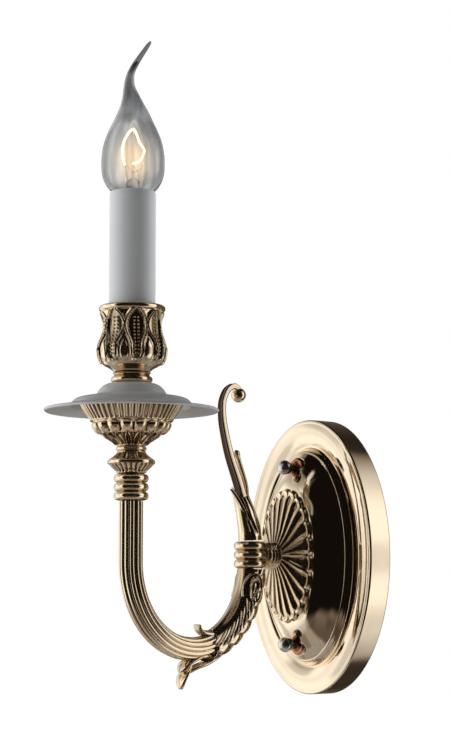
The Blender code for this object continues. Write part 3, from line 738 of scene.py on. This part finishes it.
# ---------------------------------------------------------------- Reeded arm
# The arm is a heavy-walled tube drawn with twelve rounded reeds. It drops from the candle, sweeps
# round a half oval and ends inside the leaf casting under the hub.
CANDLE_Y = -145.5
BEND_Y = -102.75
BEND_Z = -5.0
BEND_HALF_SPAN = 42.75
BEND_DROP = 47.5
REEDS = 12
REED_DEPTH = 1.2
ARM_R = 6.6
ARM_TOP_Z = 27.8


def bend(start, end, count):
    """Points on the half-oval bend: 180 degrees on the candle's side and 360 on the hub's."""
    a = np.radians(np.linspace(start, end, count))
    return np.stack([BEND_Y + BEND_HALF_SPAN * np.cos(a), BEND_Z + BEND_DROP * np.sin(a)], -1)


def new_recipe(name, **kinds):
    """A geometry recipe, with its graph and its inputs, whose kinds of socket are given by name."""
    recipe = bpy.data.node_groups.new(name, "GeometryNodeTree")
    for key, kind in {"Geometry": "Geometry", **kinds, "Finish": "Material"}.items():
        recipe.interface.new_socket(key.replace("_", " "), in_out="INPUT", socket_type="NodeSocket" + kind)
    recipe.interface.new_socket("Geometry", in_out="OUTPUT", socket_type="NodeSocketGeometry")
    nodes = Graph(recipe)
    return recipe, nodes, nodes.add("NodeGroupInput")


def end_recipe(nodes, given, shape):
    """Make a recipe's shape real, give it its finish and send it out."""
    whole = nodes.add("GeometryNodeRealizeInstances", None, shape)
    dressed = nodes.add("GeometryNodeSetMaterial", None, whole, Material=given.out("Finish"))
    nodes.add("NodeGroupOutput", None, dressed)


def baked(name, source, recipe, **inputs):
    """Run a geometry recipe on an object and turn the result into a plain gold piece."""
    modifier = source.modifiers.new("recipe", "NODES")
    modifier.node_group = recipe
    for socket in recipe.interface.items_tree:
        key = socket.name.replace(" ", "_")
        if socket.in_out == "INPUT" and key in inputs:
            modifier[socket.identifier] = inputs[key]
    bpy.context.view_layer.update()
    mesh = bpy.data.meshes.new_from_object(source.evaluated_get(bpy.context.evaluated_depsgraph_get()))
    bpy.data.objects.remove(source)
    return enrol(name, mesh, "fixture")


reeding, nodes, given = new_recipe("reeded_arm", Radius="Float", Reeds="Int", Reed_Depth="Float", Steps="Int")
ring = nodes.add("GeometryNodeCurvePrimitiveCircle", {"mode": "RADIUS"}, given.out("Steps"), Radius=1.0)
step = nodes.add("GeometryNodeInputIndex") * given.out("Reeds") / given.out("Steps")
lobe = abs(nodes.add("ShaderNodeMath", {"operation": "COSINE"}, step * math.pi)) ** 0.55
reach = (given.out("Radius") - (1 - lobe) * given.out("Reed Depth")) * MM
place = nodes.add("GeometryNodeInputPosition")
place = nodes.add("ShaderNodeVectorMath", {"operation": "SCALE"}, place, Scale=reach)
profile = nodes.add("GeometryNodeSetPosition", None, ring, Position=place)
# The recess stored with the profile is painted shade between the reeds.
noted = nodes.add("GeometryNodeStoreNamedAttribute", {"data_type": "FLOAT", "domain": "POINT"}, profile,
                  Name="recess", Value=(1 - lobe) ** 3.0)
upright = nodes.add("GeometryNodeSetCurveNormal", {"mode": "MINIMUM_TWIST"}, given.out("Geometry"))
drawn = nodes.add("GeometryNodeCurveToMesh", None, upright, noted, Fill_Caps=True)
end_recipe(nodes, given, nodes.add("GeometryNodeSetShadeSmooth", None, drawn))

arm_line = np.vstack([[(CANDLE_Y, z) for z in np.linspace(ARM_TOP_Z, 0, 15)], bend(181, 355, 110)])
arm_curve = bpy.data.curves.new("arm_line", "CURVE")
arm_curve.dimensions = "3D"
spline = arm_curve.splines.new("POLY")
spline.points.add(len(arm_line) - 1)
for point, (y, z) in zip(spline.points, arm_line):
    point.co = (0, y * MM, z * MM, 1)
arm_path = bpy.data.objects.new("arm_line", arm_curve)
scene.collection.objects.link(arm_path)
arm = baked("arm_reeded", arm_path, reeding, Radius=ARM_R, Reeds=REEDS, Reed_Depth=REED_DEPTH,
            Steps=168, Finish=cast_gilding)
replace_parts(arm, "lower_arm")

# ---------------------------------------------------------------- Leaf casting on the arm
# An acanthus casting sheathes the arm below the hub. A row of overlapping scales runs down its
# outer edge, with thin flames rising from them, and it ends in a hanging two-lobed tip.
SCALE_PITCH = 8.8
SHEATHED_R = 5.9
SPUR_LINE = [(-86.5, -44.8), (-92.0, -44.4), (-96.0, -43.4), (-98.2, -41.6), (-98.9, -39.2)]
KEEL_LINE = [(-82.0, -54.4), (-88.5, -58.2), (-94.5, -60.8), (-100.0, -62.4), (-104.6, -64.6)]
FIRST_LOBE = [(-97.5, -56.8), (-103.5, -58.6), (-108.4, -61.4), (-110.6, -65.6)]
SECOND_LOBE = [(-105.2, -61.8), (-108.0, -65.6), (-110.2, -69.6), (-110.8, -74.3)]
leaf_line = bend(277, 356.2, 320)
LEAF_RUN = np.linalg.norm(np.diff(leaf_line, axis=0), axis=1).sum()


def leaf_section(share, turn):
    """Scales along the outer edge, flames above them, a loop near the hub and a smooth inner side."""
    side = np.abs((turn + math.pi) % math.tau - math.pi)
    run = share * LEAF_RUN
    wide = 8.0 * side
    radius = 7.5 + 0.7 * bump(side, 0.9, 0.6)

    on_scales = bump(wide, 7.0, 5.2) ** 0.5 * (wide < 12.6)
    scale = ((run + 0.75 * (wide - 7.0)) / SCALE_PITCH) % 1
    body = np.sin(math.pi * scale ** 0.7) ** 0.55 * np.sqrt(np.clip(1 - ((wide - 7.0) / 5.6) ** 2, 0, 1))
    seam = np.clip(1 - 2.4 * body, 0, 1) * (wide < 13.2)

    past = np.clip((wide - 11.0) / 6.0, 0, 1)
    flame = ((run - 2.3 * (wide - 11.0)) / SCALE_PITCH + 0.1) % 1
    on_flames = np.clip((wide - 10.6) / 1.0, 0, 1) * (past < 1) * (share < 0.84)
    blade = bump(flame, 0.5, 0.16 * (1.15 - past)) * on_flames
    groove = bump(np.abs(flame - 0.5), 0.27, 0.12) * (1 - past) ** 0.5 * on_flames

    loop_x = 7.8 * (side - 1.75)
    loop_z = run - (LEAF_RUN - 11.5)
    egg = np.hypot(loop_x / (2.1 + 0.14 * loop_z), loop_z / 6.0)
    loop = 1.3 * bump(egg, 1.0, 0.22) + 0.7 * bump(egg, 0.0, 0.45)
    arch = np.hypot((loop_x - 1.0) / 5.6, (loop_z + 1.0) / 9.6)
    hood = bump(arch, 1.0, 0.07) * (loop_z > -7)
    clear = 1 - np.clip(2.2 - 1.5 * egg, 0, 1)

    shape = 1.35 * body * on_scales + 0.55 * blade - 0.35 * groove - 0.4 * seam * on_scales
    shape = shape * clear + loop + 0.7 * hood
    # Painted shade: the whole inner side is darkened, as are the scale seams, the flame grooves and two rings
    # round the loop.
    inner_side_shade = 0.45 * (side > 2.0) * np.clip((share - 0.1) * 4, 0, 1)
    recess = (seam * on_scales + 0.6 * groove) * clear + inner_side_shade
    recess = recess + bump(egg, 0.64, 0.12) + bump(egg, 1.34, 0.13)
    start = 0.42 * wide + 2.2 * np.abs(np.sin(side * 3.5))
    cover = np.clip((run - start) / 0.7, 0, 1)
    radius = radius + shape
    reach = np.where(run < start + 0.7, SHEATHED_R + (radius - SHEATHED_R) * cover ** 0.6, radius)
    return reach * np.cos(turn), reach * np.sin(turn) * 0.97, np.clip(recess, 0, 1)


def spur_section(share, turn):
    """A spur that curls off the inner side, hollow underneath, with painted shade under it."""
    width = 4.4 * (1 - 0.3 * share)
    thick = 2.2 * (1 - share) ** 0.9 + 0.7
    return thick * np.cos(turn), width * np.sin(turn), 0.4 * bump(np.cos(turn), -1, 0.4)


def lobe_section(width, thick, narrow):
    """A leaf lobe: narrow where it springs, round at its end, with painted shade in a groove down its middle.
    """
    def section(share, turn):
        half = width * (narrow + (1 - narrow) * np.sin(math.pi * np.clip(0.12 + 0.8 * share, 0, 1)) ** 0.8)
        half = half * np.sqrt(np.clip(1.02 - share ** 6, 0.01, 1))
        groove = 0.25 * bump(np.sin(turn), 0, 0.2)
        return (thick - groove) * np.cos(turn), half * np.sin(turn), groove * 1.3
    return section


make("arm_leaf_casting", [swept(leaf_line, leaf_section, 216),
                          swept(line(SPUR_LINE, 0.35), spur_section, 40)], cast_gilding,
     "arm_leaf", corner=70)
make("leaf_tip_lobes", [swept(line(KEEL_LINE, 0.4), lobe_section(4.4, 1.5, 0.7), 48),
                        swept(line(FIRST_LOBE, 0.35), lobe_section(5.6, 1.5, 0.7), 48),
                        swept(line(SECOND_LOBE, 0.35), lobe_section(4.6, 1.3, 0.5), 48)], cast_gilding,
     "leaf_tip", corner=60)

# ---------------------------------------------------------------- Ring collar, knop and neck ring
# The candle's weight is carried on turned brass parts threaded over one long tube: a collar with
# three bold rings, a ribbed knop with a leaf pattern on its bell, and a thin neck ring.
AXIS = (0.0, CANDLE_Y)
BORE_R = 5.1
COLLAR_GROOVE_R = 7.6
COLLAR_CROWN_R = 9.5
KNOP_OUTLINE = [(BORE_R, 43.1), (7.8, 43.1), (8.2, 43.5), (8.8, 44.4), (11.2, 46.6), (12.2, 47.8),
                (12.2, 47.8), (12.9, 48.3), (12.9, 49.8), (12.3, 50.4), (12.3, 50.4), (11.4, 51.2),
                (9.5, 53.0), (8.4, 54.4), (8.0, 55.0), (8.0, 55.0), (BORE_R, 55.0)]
NECK_OUTLINE = [(BORE_R, 55.3), (7.4, 55.3), (8.25, 56.0), (8.25, 56.9), (7.6, 57.6), (BORE_R, 57.6)]


def on_candle(outline, columns, relief=None):
    """A ring turned about the candle's axis, with a bore down its middle."""
    return turned(outline, columns, relief, centre=AXIS, ring=True)


def between(place, low, high, blend_in, blend_out):
    """1 between two places and 0 outside them, with a short blend inside each end."""
    return np.clip((place - low) / blend_in, 0, 1) * np.clip((high - place) / blend_out, 0, 1)


def knop_relief(turn, outline):
    """Wide ribs below the knop's ridge, and small pointed leaves on the bell above it."""
    place = outline[:, 1:]
    outer = outline[:, :1] > 6.5
    gap = 1 - np.abs(np.cos(turn * 12)) ** 0.7
    ribs = outer * between(place, 43.2, 48.3, 0.8, 1.0)
    bell = outer * between(place, 50.4, 55.0, 0.8, 0.5)
    leaf = np.abs(np.cos(turn * 8)) ** 0.8 * np.clip(1.25 - (place - 50.4) / 4.6, 0.3, 1)
    vein = 0.5 * bump(np.abs(np.cos(turn * 8)), 1, 0.06)
    push = -ribs * gap * 1.15 - bell * ((1 - leaf) * 0.8 + vein * 0.5)
    # The recess is painted shade in the gaps between the ribs, between the leaves and along their veins.
    return push, np.clip(ribs * gap * 1.3 + bell * ((1 - leaf) * 0.8 + vein), 0, 1)


collar_outline = ringed(COLLAR_GROOVE_R, COLLAR_CROWN_R, 28.3, 4.8, 3, BORE_R)
make("ring_collar_turned", [on_candle(collar_outline, 96, in_groove(COLLAR_GROOVE_R, COLLAR_CROWN_R))],
     turned_gilding, "ring_collar")
make("knop_ribbed", [on_candle(line(KNOP_OUTLINE, 0.16), 384, knop_relief)], cast_gilding, "knop", corner=60)
make("neck_ring", [on_candle(line(NECK_OUTLINE, 0.2), 72)], turned_gilding, "bowl_collar")

# ---------------------------------------------------------------- Reeded bowl
# A cast brass bowl sits under the drip pan. Small leaves climb from its foot to a belt of round
# gadroons, and fine reeds flare from there to the rim.
BOWL_LOBES = 16
BOWL_REEDS = 48
BOWL_OUTLINE = [(7.9, 57.9), (8.6, 58.6), (10.5, 60.2), (13.2, 61.9), (15.0, 63.0), (16.2, 64.2),
                (16.2, 64.2), (17.6, 64.6), (19.8, 65.9), (21.2, 67.8), (21.6, 69.6), (21.0, 71.0),
                (21.0, 71.0), (22.6, 71.4), (22.6, 71.4), (23.6, 73.2), (26.4, 77.4), (28.2, 80.4),
                (28.8, 81.5)]
BOWL_INSIDE = [(27.4, 81.5), (25.4, 77.8), (23.4, 74.4), (20.8, 70.6), (17.4, 67.4), (12.0, 63.8),
               (7.0, 61.4), (BORE_R, 61.0), (BORE_R, 61.0), (BORE_R, 57.9)]

bowl_outer = line(BOWL_OUTLINE, 0.26)
BOWL_OUTER_ROWS = len(bowl_outer) - 2


def bowl_relief(turn, outline):
    """Leaves round the bowl's foot, gadroons above them and reeds on the flare."""
    place = outline[:, 1:]
    outer = np.arange(len(outline))[:, None] < BOWL_OUTER_ROWS
    reed = np.abs(np.cos(turn * BOWL_REEDS / 2)) ** 0.8
    on_reeds = outer * between(place, 71.6, 81.3, 0.5, 0.6)
    lobe = np.abs(np.cos(turn * BOWL_LOBES / 2)) ** 0.6
    on_lobes = outer * between(place, 64.4, 70.9, 0.5, 0.4)
    rise = np.clip((place - 58.3) / 5.7, 0, 1)
    leaf_edge = np.abs(((turn * BOWL_LOBES / math.tau + 0.5) % 1) - 0.5) * 2
    on_leaves = outer * (place < 64.3) * np.clip((place - 58.2) / 0.5, 0, 1)
    outline_rib = bump(leaf_edge, 0.66 - 0.5 * rise ** 3, 0.15)
    vein = bump(leaf_edge, 0, 0.14) * np.clip(rise * 3, 0, 1) * (rise < 0.75)
    leaves = outline_rib + vein * 0.7 + bump(leaf_edge, 1.0, 0.15) * rise * 0.8
    push = -on_reeds * (1 - reed) * 1.25 + on_lobes * (2.5 * lobe - 2.1) + on_leaves * (leaves - 0.7) * 1.3
    # The recess is painted shade between the reeds, between the gadroons and on the leaves between their
    # ribs.
    recess = on_reeds * (1 - reed) * 1.2 + on_lobes * np.clip(1.1 - 1.5 * lobe, 0, 1)
    return push, np.clip(recess + on_leaves * (1 - leaves), 0, 1)


make("bowl_reeded", [on_candle(np.vstack([bowl_outer, line(BOWL_INSIDE, 2.0)]), 480, bowl_relief)],
     cast_gilding, "bowl", corner=65)

# ---------------------------------------------------------------- Drip pan
# The wide pan is pressed steel in soft white enamel, with two raised steps and a rolled rim.
PAN_TOP = [(BORE_R, 92.4), (10.8, 92.4), (12.8, 92.1), (15.2, 91.1), (17.2, 89.5), (18.5, 87.6), (19.3, 86.2),
           (20.4, 85.5), (24.0, 84.9), (28.0, 84.4), (30.6, 83.6), (32.4, 82.2), (33.6, 80.8), (35.2, 80.1),
           (40.0, 79.4), (46.6, 78.4)]
PAN_RIM = [(47.5, 78.2), (47.95, 77.5), (47.3, 76.7), (46.2, 76.9)]
PAN_UNDER = [(40.0, 77.9), (35.0, 78.6), (33.0, 79.3), (31.6, 80.8), (30.0, 82.2), (27.6, 82.9), (24.0, 83.4),
             (20.0, 84.0), (18.4, 84.9), (17.4, 86.6), (16.2, 88.4), (14.4, 89.8), (12.4, 90.6),
             (BORE_R, 90.9)]

enamel, graph, shader = new_finish("white_enamel", IOR=1.5, Coat_Weight=0.25, Coat_Roughness=0.12)
cloud = graph.noise(60.0)
feed(graph, shader, graph.mix(cloud, (0.64, 0.655, 0.66, 1), (0.70, 0.71, 0.705, 1)), 0.30 + cloud * 0.12,
     graph.noise(420.0), 0.00003)
pan_outline = line([*PAN_TOP, *PAN_RIM, *PAN_UNDER][::-1], 0.55)
make("drip_pan_pressed", [on_candle(pan_outline, 160)], enamel, "drip_pan", slot="white_enamel", corner=55)

# ---------------------------------------------------------------- Cup foot and tulip cup
# A turned foot ring stands on the pan. The cast cup above it has eight pointed petals outlined by a
# doubled ribbon, with two rows of beads down each, and drop-shaped pads between their feet.
PETALS = 8
FIRST_PETAL = math.radians(61.3 - 90)
FOOT_OUTLINE = [(BORE_R, 92.8), (10.4, 92.8), (11.2, 93.5), (11.4, 94.6), (10.9, 95.7), (10.2, 96.1),
                (9.7, 96.7), (9.9, 97.5), (10.4, 98.1), (10.4, 98.1), (BORE_R, 98.2)]
PETAL_OUTLINE = [(104.4, 0.0), (105.0, 1.5), (107, 2.2), (110, 2.3), (112.7, 2.4), (115, 3.0), (118, 4.2),
                 (120.5, 4.9), (122.8, 5.15), (125, 4.9), (127, 4.3), (129, 3.2), (130.8, 1.9), (132.4, 0.0)]
PAD_OUTLINE = [(102.8, 0.0), (103.4, 1.5), (105, 2.6), (108, 3.1), (110.5, 2.8), (113, 1.9), (115, 1.1),
               (117.5, 0.0)]
PETAL_LEAN = [(104, 1.5), (105, 0.1), (118, 0.1), (127, 0.2), (131, 0.6), (132.4, 1.2)]
CUP_OUTLINE = [(8.0, 98.5), (9.9, 98.5), (9.9, 98.5), (10.7, 99.5), (12.6, 100.8), (15.2, 102.2),
               (17.0, 103.8), (18.1, 106.0), (18.6, 108.4), (18.7, 111.0), (18.2, 113.6), (17.2, 116.4),
               (16.3, 119.4), (15.8, 122.6), (15.7, 125.4), (16.1, 128.2), (16.9, 130.8), (17.3, 132.0),
               (17.3, 132.0), (18.0, 132.6), (18.3, 133.5), (18.1, 134.5), (17.3, 135.1)]
CUP_INSIDE = [(16.6, 135.0), (16.1, 134.2), (15.3, 131.8), (13.9, 128.0), (13.5, 124.0), (13.5, 124.0),
              (13.5, 103.2), (13.5, 103.2), (9.6, 101.0), (BORE_R, 101.0), (BORE_R, 101.0), (BORE_R, 98.5)]
BEAD_R = 0.70
BEAD_PITCH = 2.0
BEAD_SPREAD = [(107, 0.85), (112, 1.0), (118, 1.2), (128, 1.0)]

cup_outer = line(CUP_OUTLINE, 0.22)
CUP_OUTER_ROWS = len(cup_outer) - 4


def follow(place, table):
    """The value at a place, from a table of (place, value)."""
    return np.interp(place, *zip(*table))


def cup_relief(turn, outline):
    """Height of the petals, ribbons and pads over the cup's plain outline."""
    place = outline[:, 1:]
    outer = np.arange(len(outline))[:, None] < CUP_OUTER_ROWS
    petal_arc = math.tau / PETALS
    petal_turn = (turn - FIRST_PETAL) * PETALS / math.tau
    from_petal = np.abs((petal_turn + 0.5) % 1 - 0.5) * petal_arc * outline[:, :1]
    from_pad = np.abs(petal_turn % 1 - 0.5) * petal_arc * outline[:, :1]
    petal_half = follow(place, PETAL_OUTLINE)
    pad_half = follow(place, PAD_OUTLINE)
    beyond = (from_petal - petal_half) / np.sqrt(1 + follow(place, PETAL_LEAN))
    in_pad = (pad_half > 0.01) & (beyond > 0.9)
    moat = pad_half - from_pad
    ribbon = bump(beyond, 0.15, 0.48) + 0.9 * bump(beyond, 1.25, 0.42)
    bed = np.clip((-beyond - 0.3) / 0.4, 0, 1) * (petal_half > 0.01)
    pad = np.clip((moat - 0.45) / 0.8, 0, 1) ** 0.6 * in_pad
    web = np.clip((beyond - 1.6) / 1.2, 0, 1) * (place > 117)
    middle = between(place, 102.6, 132.0, 1.0, 0.5)
    height = middle * (1.25 * ribbon - 0.55 * bed + 0.6 * pad - 0.35 - 0.25 * web)
    groove = bump(beyond, 0.72, 0.15) + bump(beyond, 1.85, 0.2) * (place < 119) + bump(beyond, -0.45, 0.2)
    ring = bump(moat, 0.3, 0.28) * in_pad
    # Painted shade in the grooves beside the ribbons, in the petal beds, round the pads and under the cup.
    hollow = middle * np.clip(0.62 * groove + 0.40 * bed + 0.55 * ring, 0, 1) + 0.3 * (place < 101.2)
    return height * outer, np.clip(hollow * outer, 0, 1)


# The foot ring carries painted shade from its neck upwards.
make("cup_foot_ring", [on_candle(line(FOOT_OUTLINE, 0.2), 96, shaded(94.8, 1.2, 0.8))], turned_gilding,
     "cup_foot")
make("tulip_cup_petals", [on_candle(np.vstack([cup_outer, line(CUP_INSIDE, 2.5)]), 448, cup_relief)],
     cast_gilding, "tulip_cup", corner=75)

# Beads stand in two rows in each petal's bed, and are cast with the cup.
bead_points = []
for petal in range(PETALS):
    for z in np.arange(107.2, 127.5, BEAD_PITCH):
        radius = float(np.interp(z, cup_outer[:, 1], cup_outer[:, 0])) - 0.7
        for side in (-1, 1):
            a = FIRST_PETAL + petal * math.tau / PETALS + side * float(follow(z, BEAD_SPREAD)) / radius
            bead_points.append((radius * math.cos(a) * MM, (CANDLE_Y + radius * math.sin(a)) * MM, z * MM))
bead_mesh = bpy.data.meshes.new("bead_places")
bead_mesh.from_pydata(bead_points, [], [])
bead_places = bpy.data.objects.new("bead_places", bead_mesh)
scene.collection.objects.link(bead_places)

beading, nodes, given = new_recipe("beading", Bead_Radius="Float")
bead = nodes.add("GeometryNodeMeshUVSphere", None, Segments=10, Rings=6, Radius=given.out("Bead Radius"))
bead = nodes.add("GeometryNodeSetShadeSmooth", None, bead)
strung = nodes.add("GeometryNodeInstanceOnPoints", None, given.out("Geometry"), Instance=bead)
end_recipe(nodes, given, strung)
baked("petal_beads", bead_places, beading, Bead_Radius=BEAD_R * MM, Finish=cast_gilding)

# ---------------------------------------------------------------- Candle sleeve
# A plain card-white plastic tube slips over the lampholder to look like a candle.
SLEEVE_R = 12.8
SLEEVE_BORE_R = 11.9
SLEEVE_LOW = 104.9
SLEEVE_HIGH = 198.9
SLEEVE_OUTLINE = [(SLEEVE_BORE_R, SLEEVE_LOW), (12.7, SLEEVE_LOW), (SLEEVE_R, 105.2), (SLEEVE_R, 105.2),
                  (SLEEVE_R, 198.4), (SLEEVE_R, 198.4), (12.55, SLEEVE_HIGH), (12.15, SLEEVE_HIGH),
                  (SLEEVE_BORE_R, 198.5)]

sleeve_finish, graph, shader = new_finish("white_sleeve", IOR=1.45)
place = graph.add("ShaderNodeTexCoord").out("Object")
streak = graph.noise(1.0, 3.0, graph.add("ShaderNodeMapping", None, place, Scale=(900.0, 900.0, 40.0)))
feed(graph, shader, graph.mix(graph.noise(45.0), (0.80, 0.835, 0.86, 1), (0.84, 0.87, 0.89, 1)),
     0.46 + streak * 0.14, streak, 0.00002)
make("candle_sleeve_tube", [on_candle(line(SLEEVE_OUTLINE, 2.0), 128)], sleeve_finish,
     "candle_sleeve", slot="white_sleeve", corner=50)

# ---------------------------------------------------------------- Lampholder and its stem
# Inside the sleeve a black phenolic lampholder stands on a bracket stem and the long threaded tube.
# A brass screw shell and a spring contact inside it take the bulb.
make("candle_tube_threaded", [threaded_tube(15.5, 118, 0.25, 40, centre=AXIS)], zinc,
     "candle_nipple", slot="zinc_steel")
refinish(zinc, "candle_lock_nut", "holder_stem")
refinish(plain_brass, "socket_shell")
refinish(metal("spring_bronze", (0.74, 0.47, 0.27, 1), (0.42, 0.24, 0.12, 1), 0.28), "socket_contact")
refinish(moulded("black_phenolic", (0.012, 0.011, 0.010, 1), (0.045, 0.040, 0.036, 1), 0.32, 0.2, 1500.0, 3.0,
                 0.00003, 1.55), "lampholder")
refinish(moulded("lead_insulation", (0.58, 0.57, 0.53, 1), (0.70, 0.69, 0.65, 1), 0.4, 0.15, 700.0, 2.0,
                 0.00002), "supply_lead")

# ---------------------------------------------------------------- Candle bulb
# A clear glass candle bulb, blown with a bent flame tip. Its nickel-plated cap screws into the
# lampholder, and a pressed glass stem inside carries the wires and the coiled filament.
BULB_BODY = [(5.9, 185.3, 0), (5.9, 190, 0), (6.0, 195.7, 0), (8.0, 197.6, 0), (12.4, 200.1, 0),
             (15.6, 204.4, 0), (17.2, 209.2, 0), (17.55, 214.5, 0), (17.3, 220.5, 0), (16.1, 227, 0),
             (13.9, 233, 0), (11.2, 238.8, 0), (8.5, 244.7, 0), (6.3, 249.6, -0.6), (4.6, 254.6, -1.4), (3.4, 258.6, -2.2),
             (2.7, 262.5, -2.3), (2.2, 267.0, -1.5), (2.0, 271.5, 0.6), (1.8, 275.8, 3.2), (1.6, 279.3, 5.5),
             (1.4, 282.2, 7.4), (1.1, 284.2, 8.7), (0.5, 285.2, 9.3)]
GLASS_WALL = 0.7
SWAY = (math.cos(math.radians(50)), math.sin(math.radians(50)))
FILAMENT_GLOW = 3.2

STEM_ROWS = [(5.0, 5.0, 187.5), (4.4, 4.4, 190.0), (3.0, 3.0, 194.0), (3.1, 2.2, 198.0), (3.7, 1.5, 200.5),
             (3.8, 1.35, 205.2), (2.6, 1.2, 206.3), (0.9, 0.9, 207.4), (0.8, 0.8, 209.2), (1.15, 1.15, 210.1),
             (0.8, 0.8, 210.8), (0.2, 0.2, 211.0)]
FILAMENT = [(-4.4, 214.6, 0.6), (-5.8, 219.6, 1.6), (-5.1, 228.0, 0.4), (0.0, 234.7, -0.6),
            (3.9, 226.5, -1.2), (6.3, 222.6, -0.6), (3.7, 217.0, 0.8), (-0.4, 215.6, 1.0)]
COIL_R = 0.5
COIL_TURN = 1.05
COIL_WIRE_R = 0.24
SUPPORT_WIRE_R = 0.16
WIRE_ROOT = (0.0, 210.4, 0)
SUPPORT_WIRES = [((-2.6, 204.0, 0), (-3.4, 209.0, 0), (-4.4, 214.6, 0.6)),
                 ((2.6, 204.0, 0), (3.2, 209.5, 0.4), (-0.4, 215.6, 1.0)),
                 (WIRE_ROOT, (-3.0, 214.0, 0.3), (-5.8, 219.6, 1.6)),
                 (WIRE_ROOT, (0.3, 222.0, -0.3), (0.0, 234.2, -0.6)),
                 (WIRE_ROOT, (4.6, 213.0, -0.3), (6.3, 222.6, -0.6))]
CAP_OUTLINE = [(5.4, 195.3), (6.3, 195.3), (6.4, 194.4), (6.4, 193.4), (6.9, 192.6), (6.9, 175.4),
               (6.3, 174.2), (4.3, 172.0), (4.3, 171.3), (4.3, 171.3), (0.2, 171.25)]
CAP_PITCH = 2.82

glass, graph, shader = new_finish("clear_glass", IOR=1.5, Transmission_Weight=1.0, Emission_Strength=0.3)
place = graph.add("ShaderNodeTexCoord").out("Object")
draw = graph.noise(1.0, 1.0, graph.add("ShaderNodeMapping", None, place, Scale=(160.0, 160.0, 14.0)))
height = graph.add("ShaderNodeSeparateXYZ", None, place).out("Z")
grazing = graph.add("ShaderNodeLayerWeight", None, 0.5).out("Facing")
# Painted shade: the glass is tinted grey over its own drawn streaks, and darkened further towards the bent
# tail and the grazing edges, standing for the dark surroundings seen through and in the glass.
tail_shade = graph.step(height, 0.232, 0.258) * 0.52 + graph.step(height, 0.264, 0.272) * 0.45
thick = tail_shade.maths("MAXIMUM", grazing ** 2.2, tail_shade)
body = graph.mix(graph.step(draw, 0.36, 0.62), (0.47, 0.475, 0.48, 1), (0.74, 0.745, 0.75, 1))
# Painted glow: a warm emission on the glass and stem near the filament's height, strongest where they face
# the view.
halo = (1 - grazing) ** 12 * (1 - graph.step(abs(height - 0.218), 0.0, 0.022))
feed(graph, shader, graph.mix(thick, body, (0.13, 0.133, 0.137, 1)), 0.0 + draw * 0.01, draw, 0.00008,
     Emission_Color=graph.mix(halo, (0.0, 0.0, 0.0, 1), (1.0, 0.66, 0.28, 1)))


def in_bulb(reach, z, off=0.0):
    """A point inside the bulb, at a reach to the side of its axis."""
    return (reach * SWAY[0] - off * SWAY[1], CANDLE_Y + reach * SWAY[1] + off * SWAY[0], z)


def blown(outline):
    """Rows of circles on the bulb's axis, each swayed sideways."""
    turn = around(72)
    rows = []
    for radius, z, sway in outline:
        x, y, _ = in_bulb(sway, z)
        rows.append(loops(x + radius * np.cos(turn), y + radius * np.sin(turn), z))
    return rows


def tube(points, radius, sides=8):
    """A round tube through points in space, capped at both ends."""
    points = np.array(points, float)
    slope = np.gradient(points, axis=0)
    slope /= np.linalg.norm(slope, axis=1, keepdims=True)
    side = np.cross(slope[0], (0.31, 0.52, 0.79))
    rows = []
    turn = around(sides)[:, None]
    for point, heading in zip(points, slope):
        side = side - heading * np.dot(side, heading)
        side = side / np.linalg.norm(side)
        rows.append(point + radius * (np.cos(turn) * side + np.sin(turn) * np.cross(heading, side)))
    return shell(np.array(rows))


def cap_thread(turn, outline):
    """The cap's rolled round thread."""
    place = outline[:, 1:]
    wave = 0.5 - 0.5 * np.cos((place / CAP_PITCH + turn / math.tau) * math.tau)
    on = (outline[:, :1] > 6.6) * between(place, 175.6, 192.4, 0.8, 0.8)
    # The recess is painted shade in the thread's troughs.
    return -0.5 * wave * on, 0.4 * wave * on


outer = line(BULB_BODY, 1.1)
inner = [(radius - GLASS_WALL, z, sway) for radius, z, sway in outer if radius > 1.9]
inner.append((0.15, inner[-1][1] + 0.5, inner[-1][2]))
glass_rows = blown(reversed(outer)) + blown([(5.2, 185.3, 0)] + inner[1:])
make("bulb_glass_blown", [shell(np.array(glass_rows))], glass,
     "bulb_glass", body="bulb", slot="clear_glass", corner=70)
stem = [[in_bulb(half_wide * math.cos(a), z, half_thick * math.sin(a)) for a in around(48)]
        for half_wide, half_thick, z in STEM_ROWS]
make("bulb_stem_pressed", [shell(np.array(stem))], glass,
     "bulb_stem", body="bulb", slot="clear_glass", corner=60)

lit, graph, shader = new_finish("lit_filament", Emission_Strength=FILAMENT_GLOW)
heat = graph.noise(300.0)
feed(graph, shader, Emission_Color=graph.mix(heat, (1.0, 0.58, 0.20, 1), (1.0, 0.74, 0.36, 1)),
     roughness=heat * 0.2 + 0.4)
coil_line = line([in_bulb(*point) for point in FILAMENT], 0.09)
slope = np.gradient(coil_line, axis=0)
slope /= np.linalg.norm(slope, axis=1, keepdims=True)
side = np.array((-SWAY[1], SWAY[0], 0.0))
wound = []
for i, (point, heading) in enumerate(zip(coil_line, slope)):
    a = i * COIL_TURN
    wound.append(point + COIL_R * (math.cos(a) * side + math.sin(a) * np.cross(heading, side)))
make("bulb_filament_coil", [tube(wound, COIL_WIRE_R, 5)], lit,
     "bulb_filament", body="bulb", slot="lit_filament")
wires = [tube(line([in_bulb(*point) for point in wire], 0.8), SUPPORT_WIRE_R, 6) for wire in SUPPORT_WIRES]
make("bulb_support_wires", wires, metal("support_wire", (0.55, 0.53, 0.50, 1), (0.30, 0.28, 0.26, 1), 0.3),
     body="bulb", slot="zinc_steel")
make("bulb_cap_threaded", [turned(line(CAP_OUTLINE, 0.25)[::-1], 96, cap_thread, centre=AXIS)], nickel,
     "bulb_cap", body="bulb", slot="zinc_steel", corner=60)
refinish(metal("solder", (0.66, 0.65, 0.64, 1), (0.42, 0.41, 0.41, 1), 0.35), "bulb_contact")
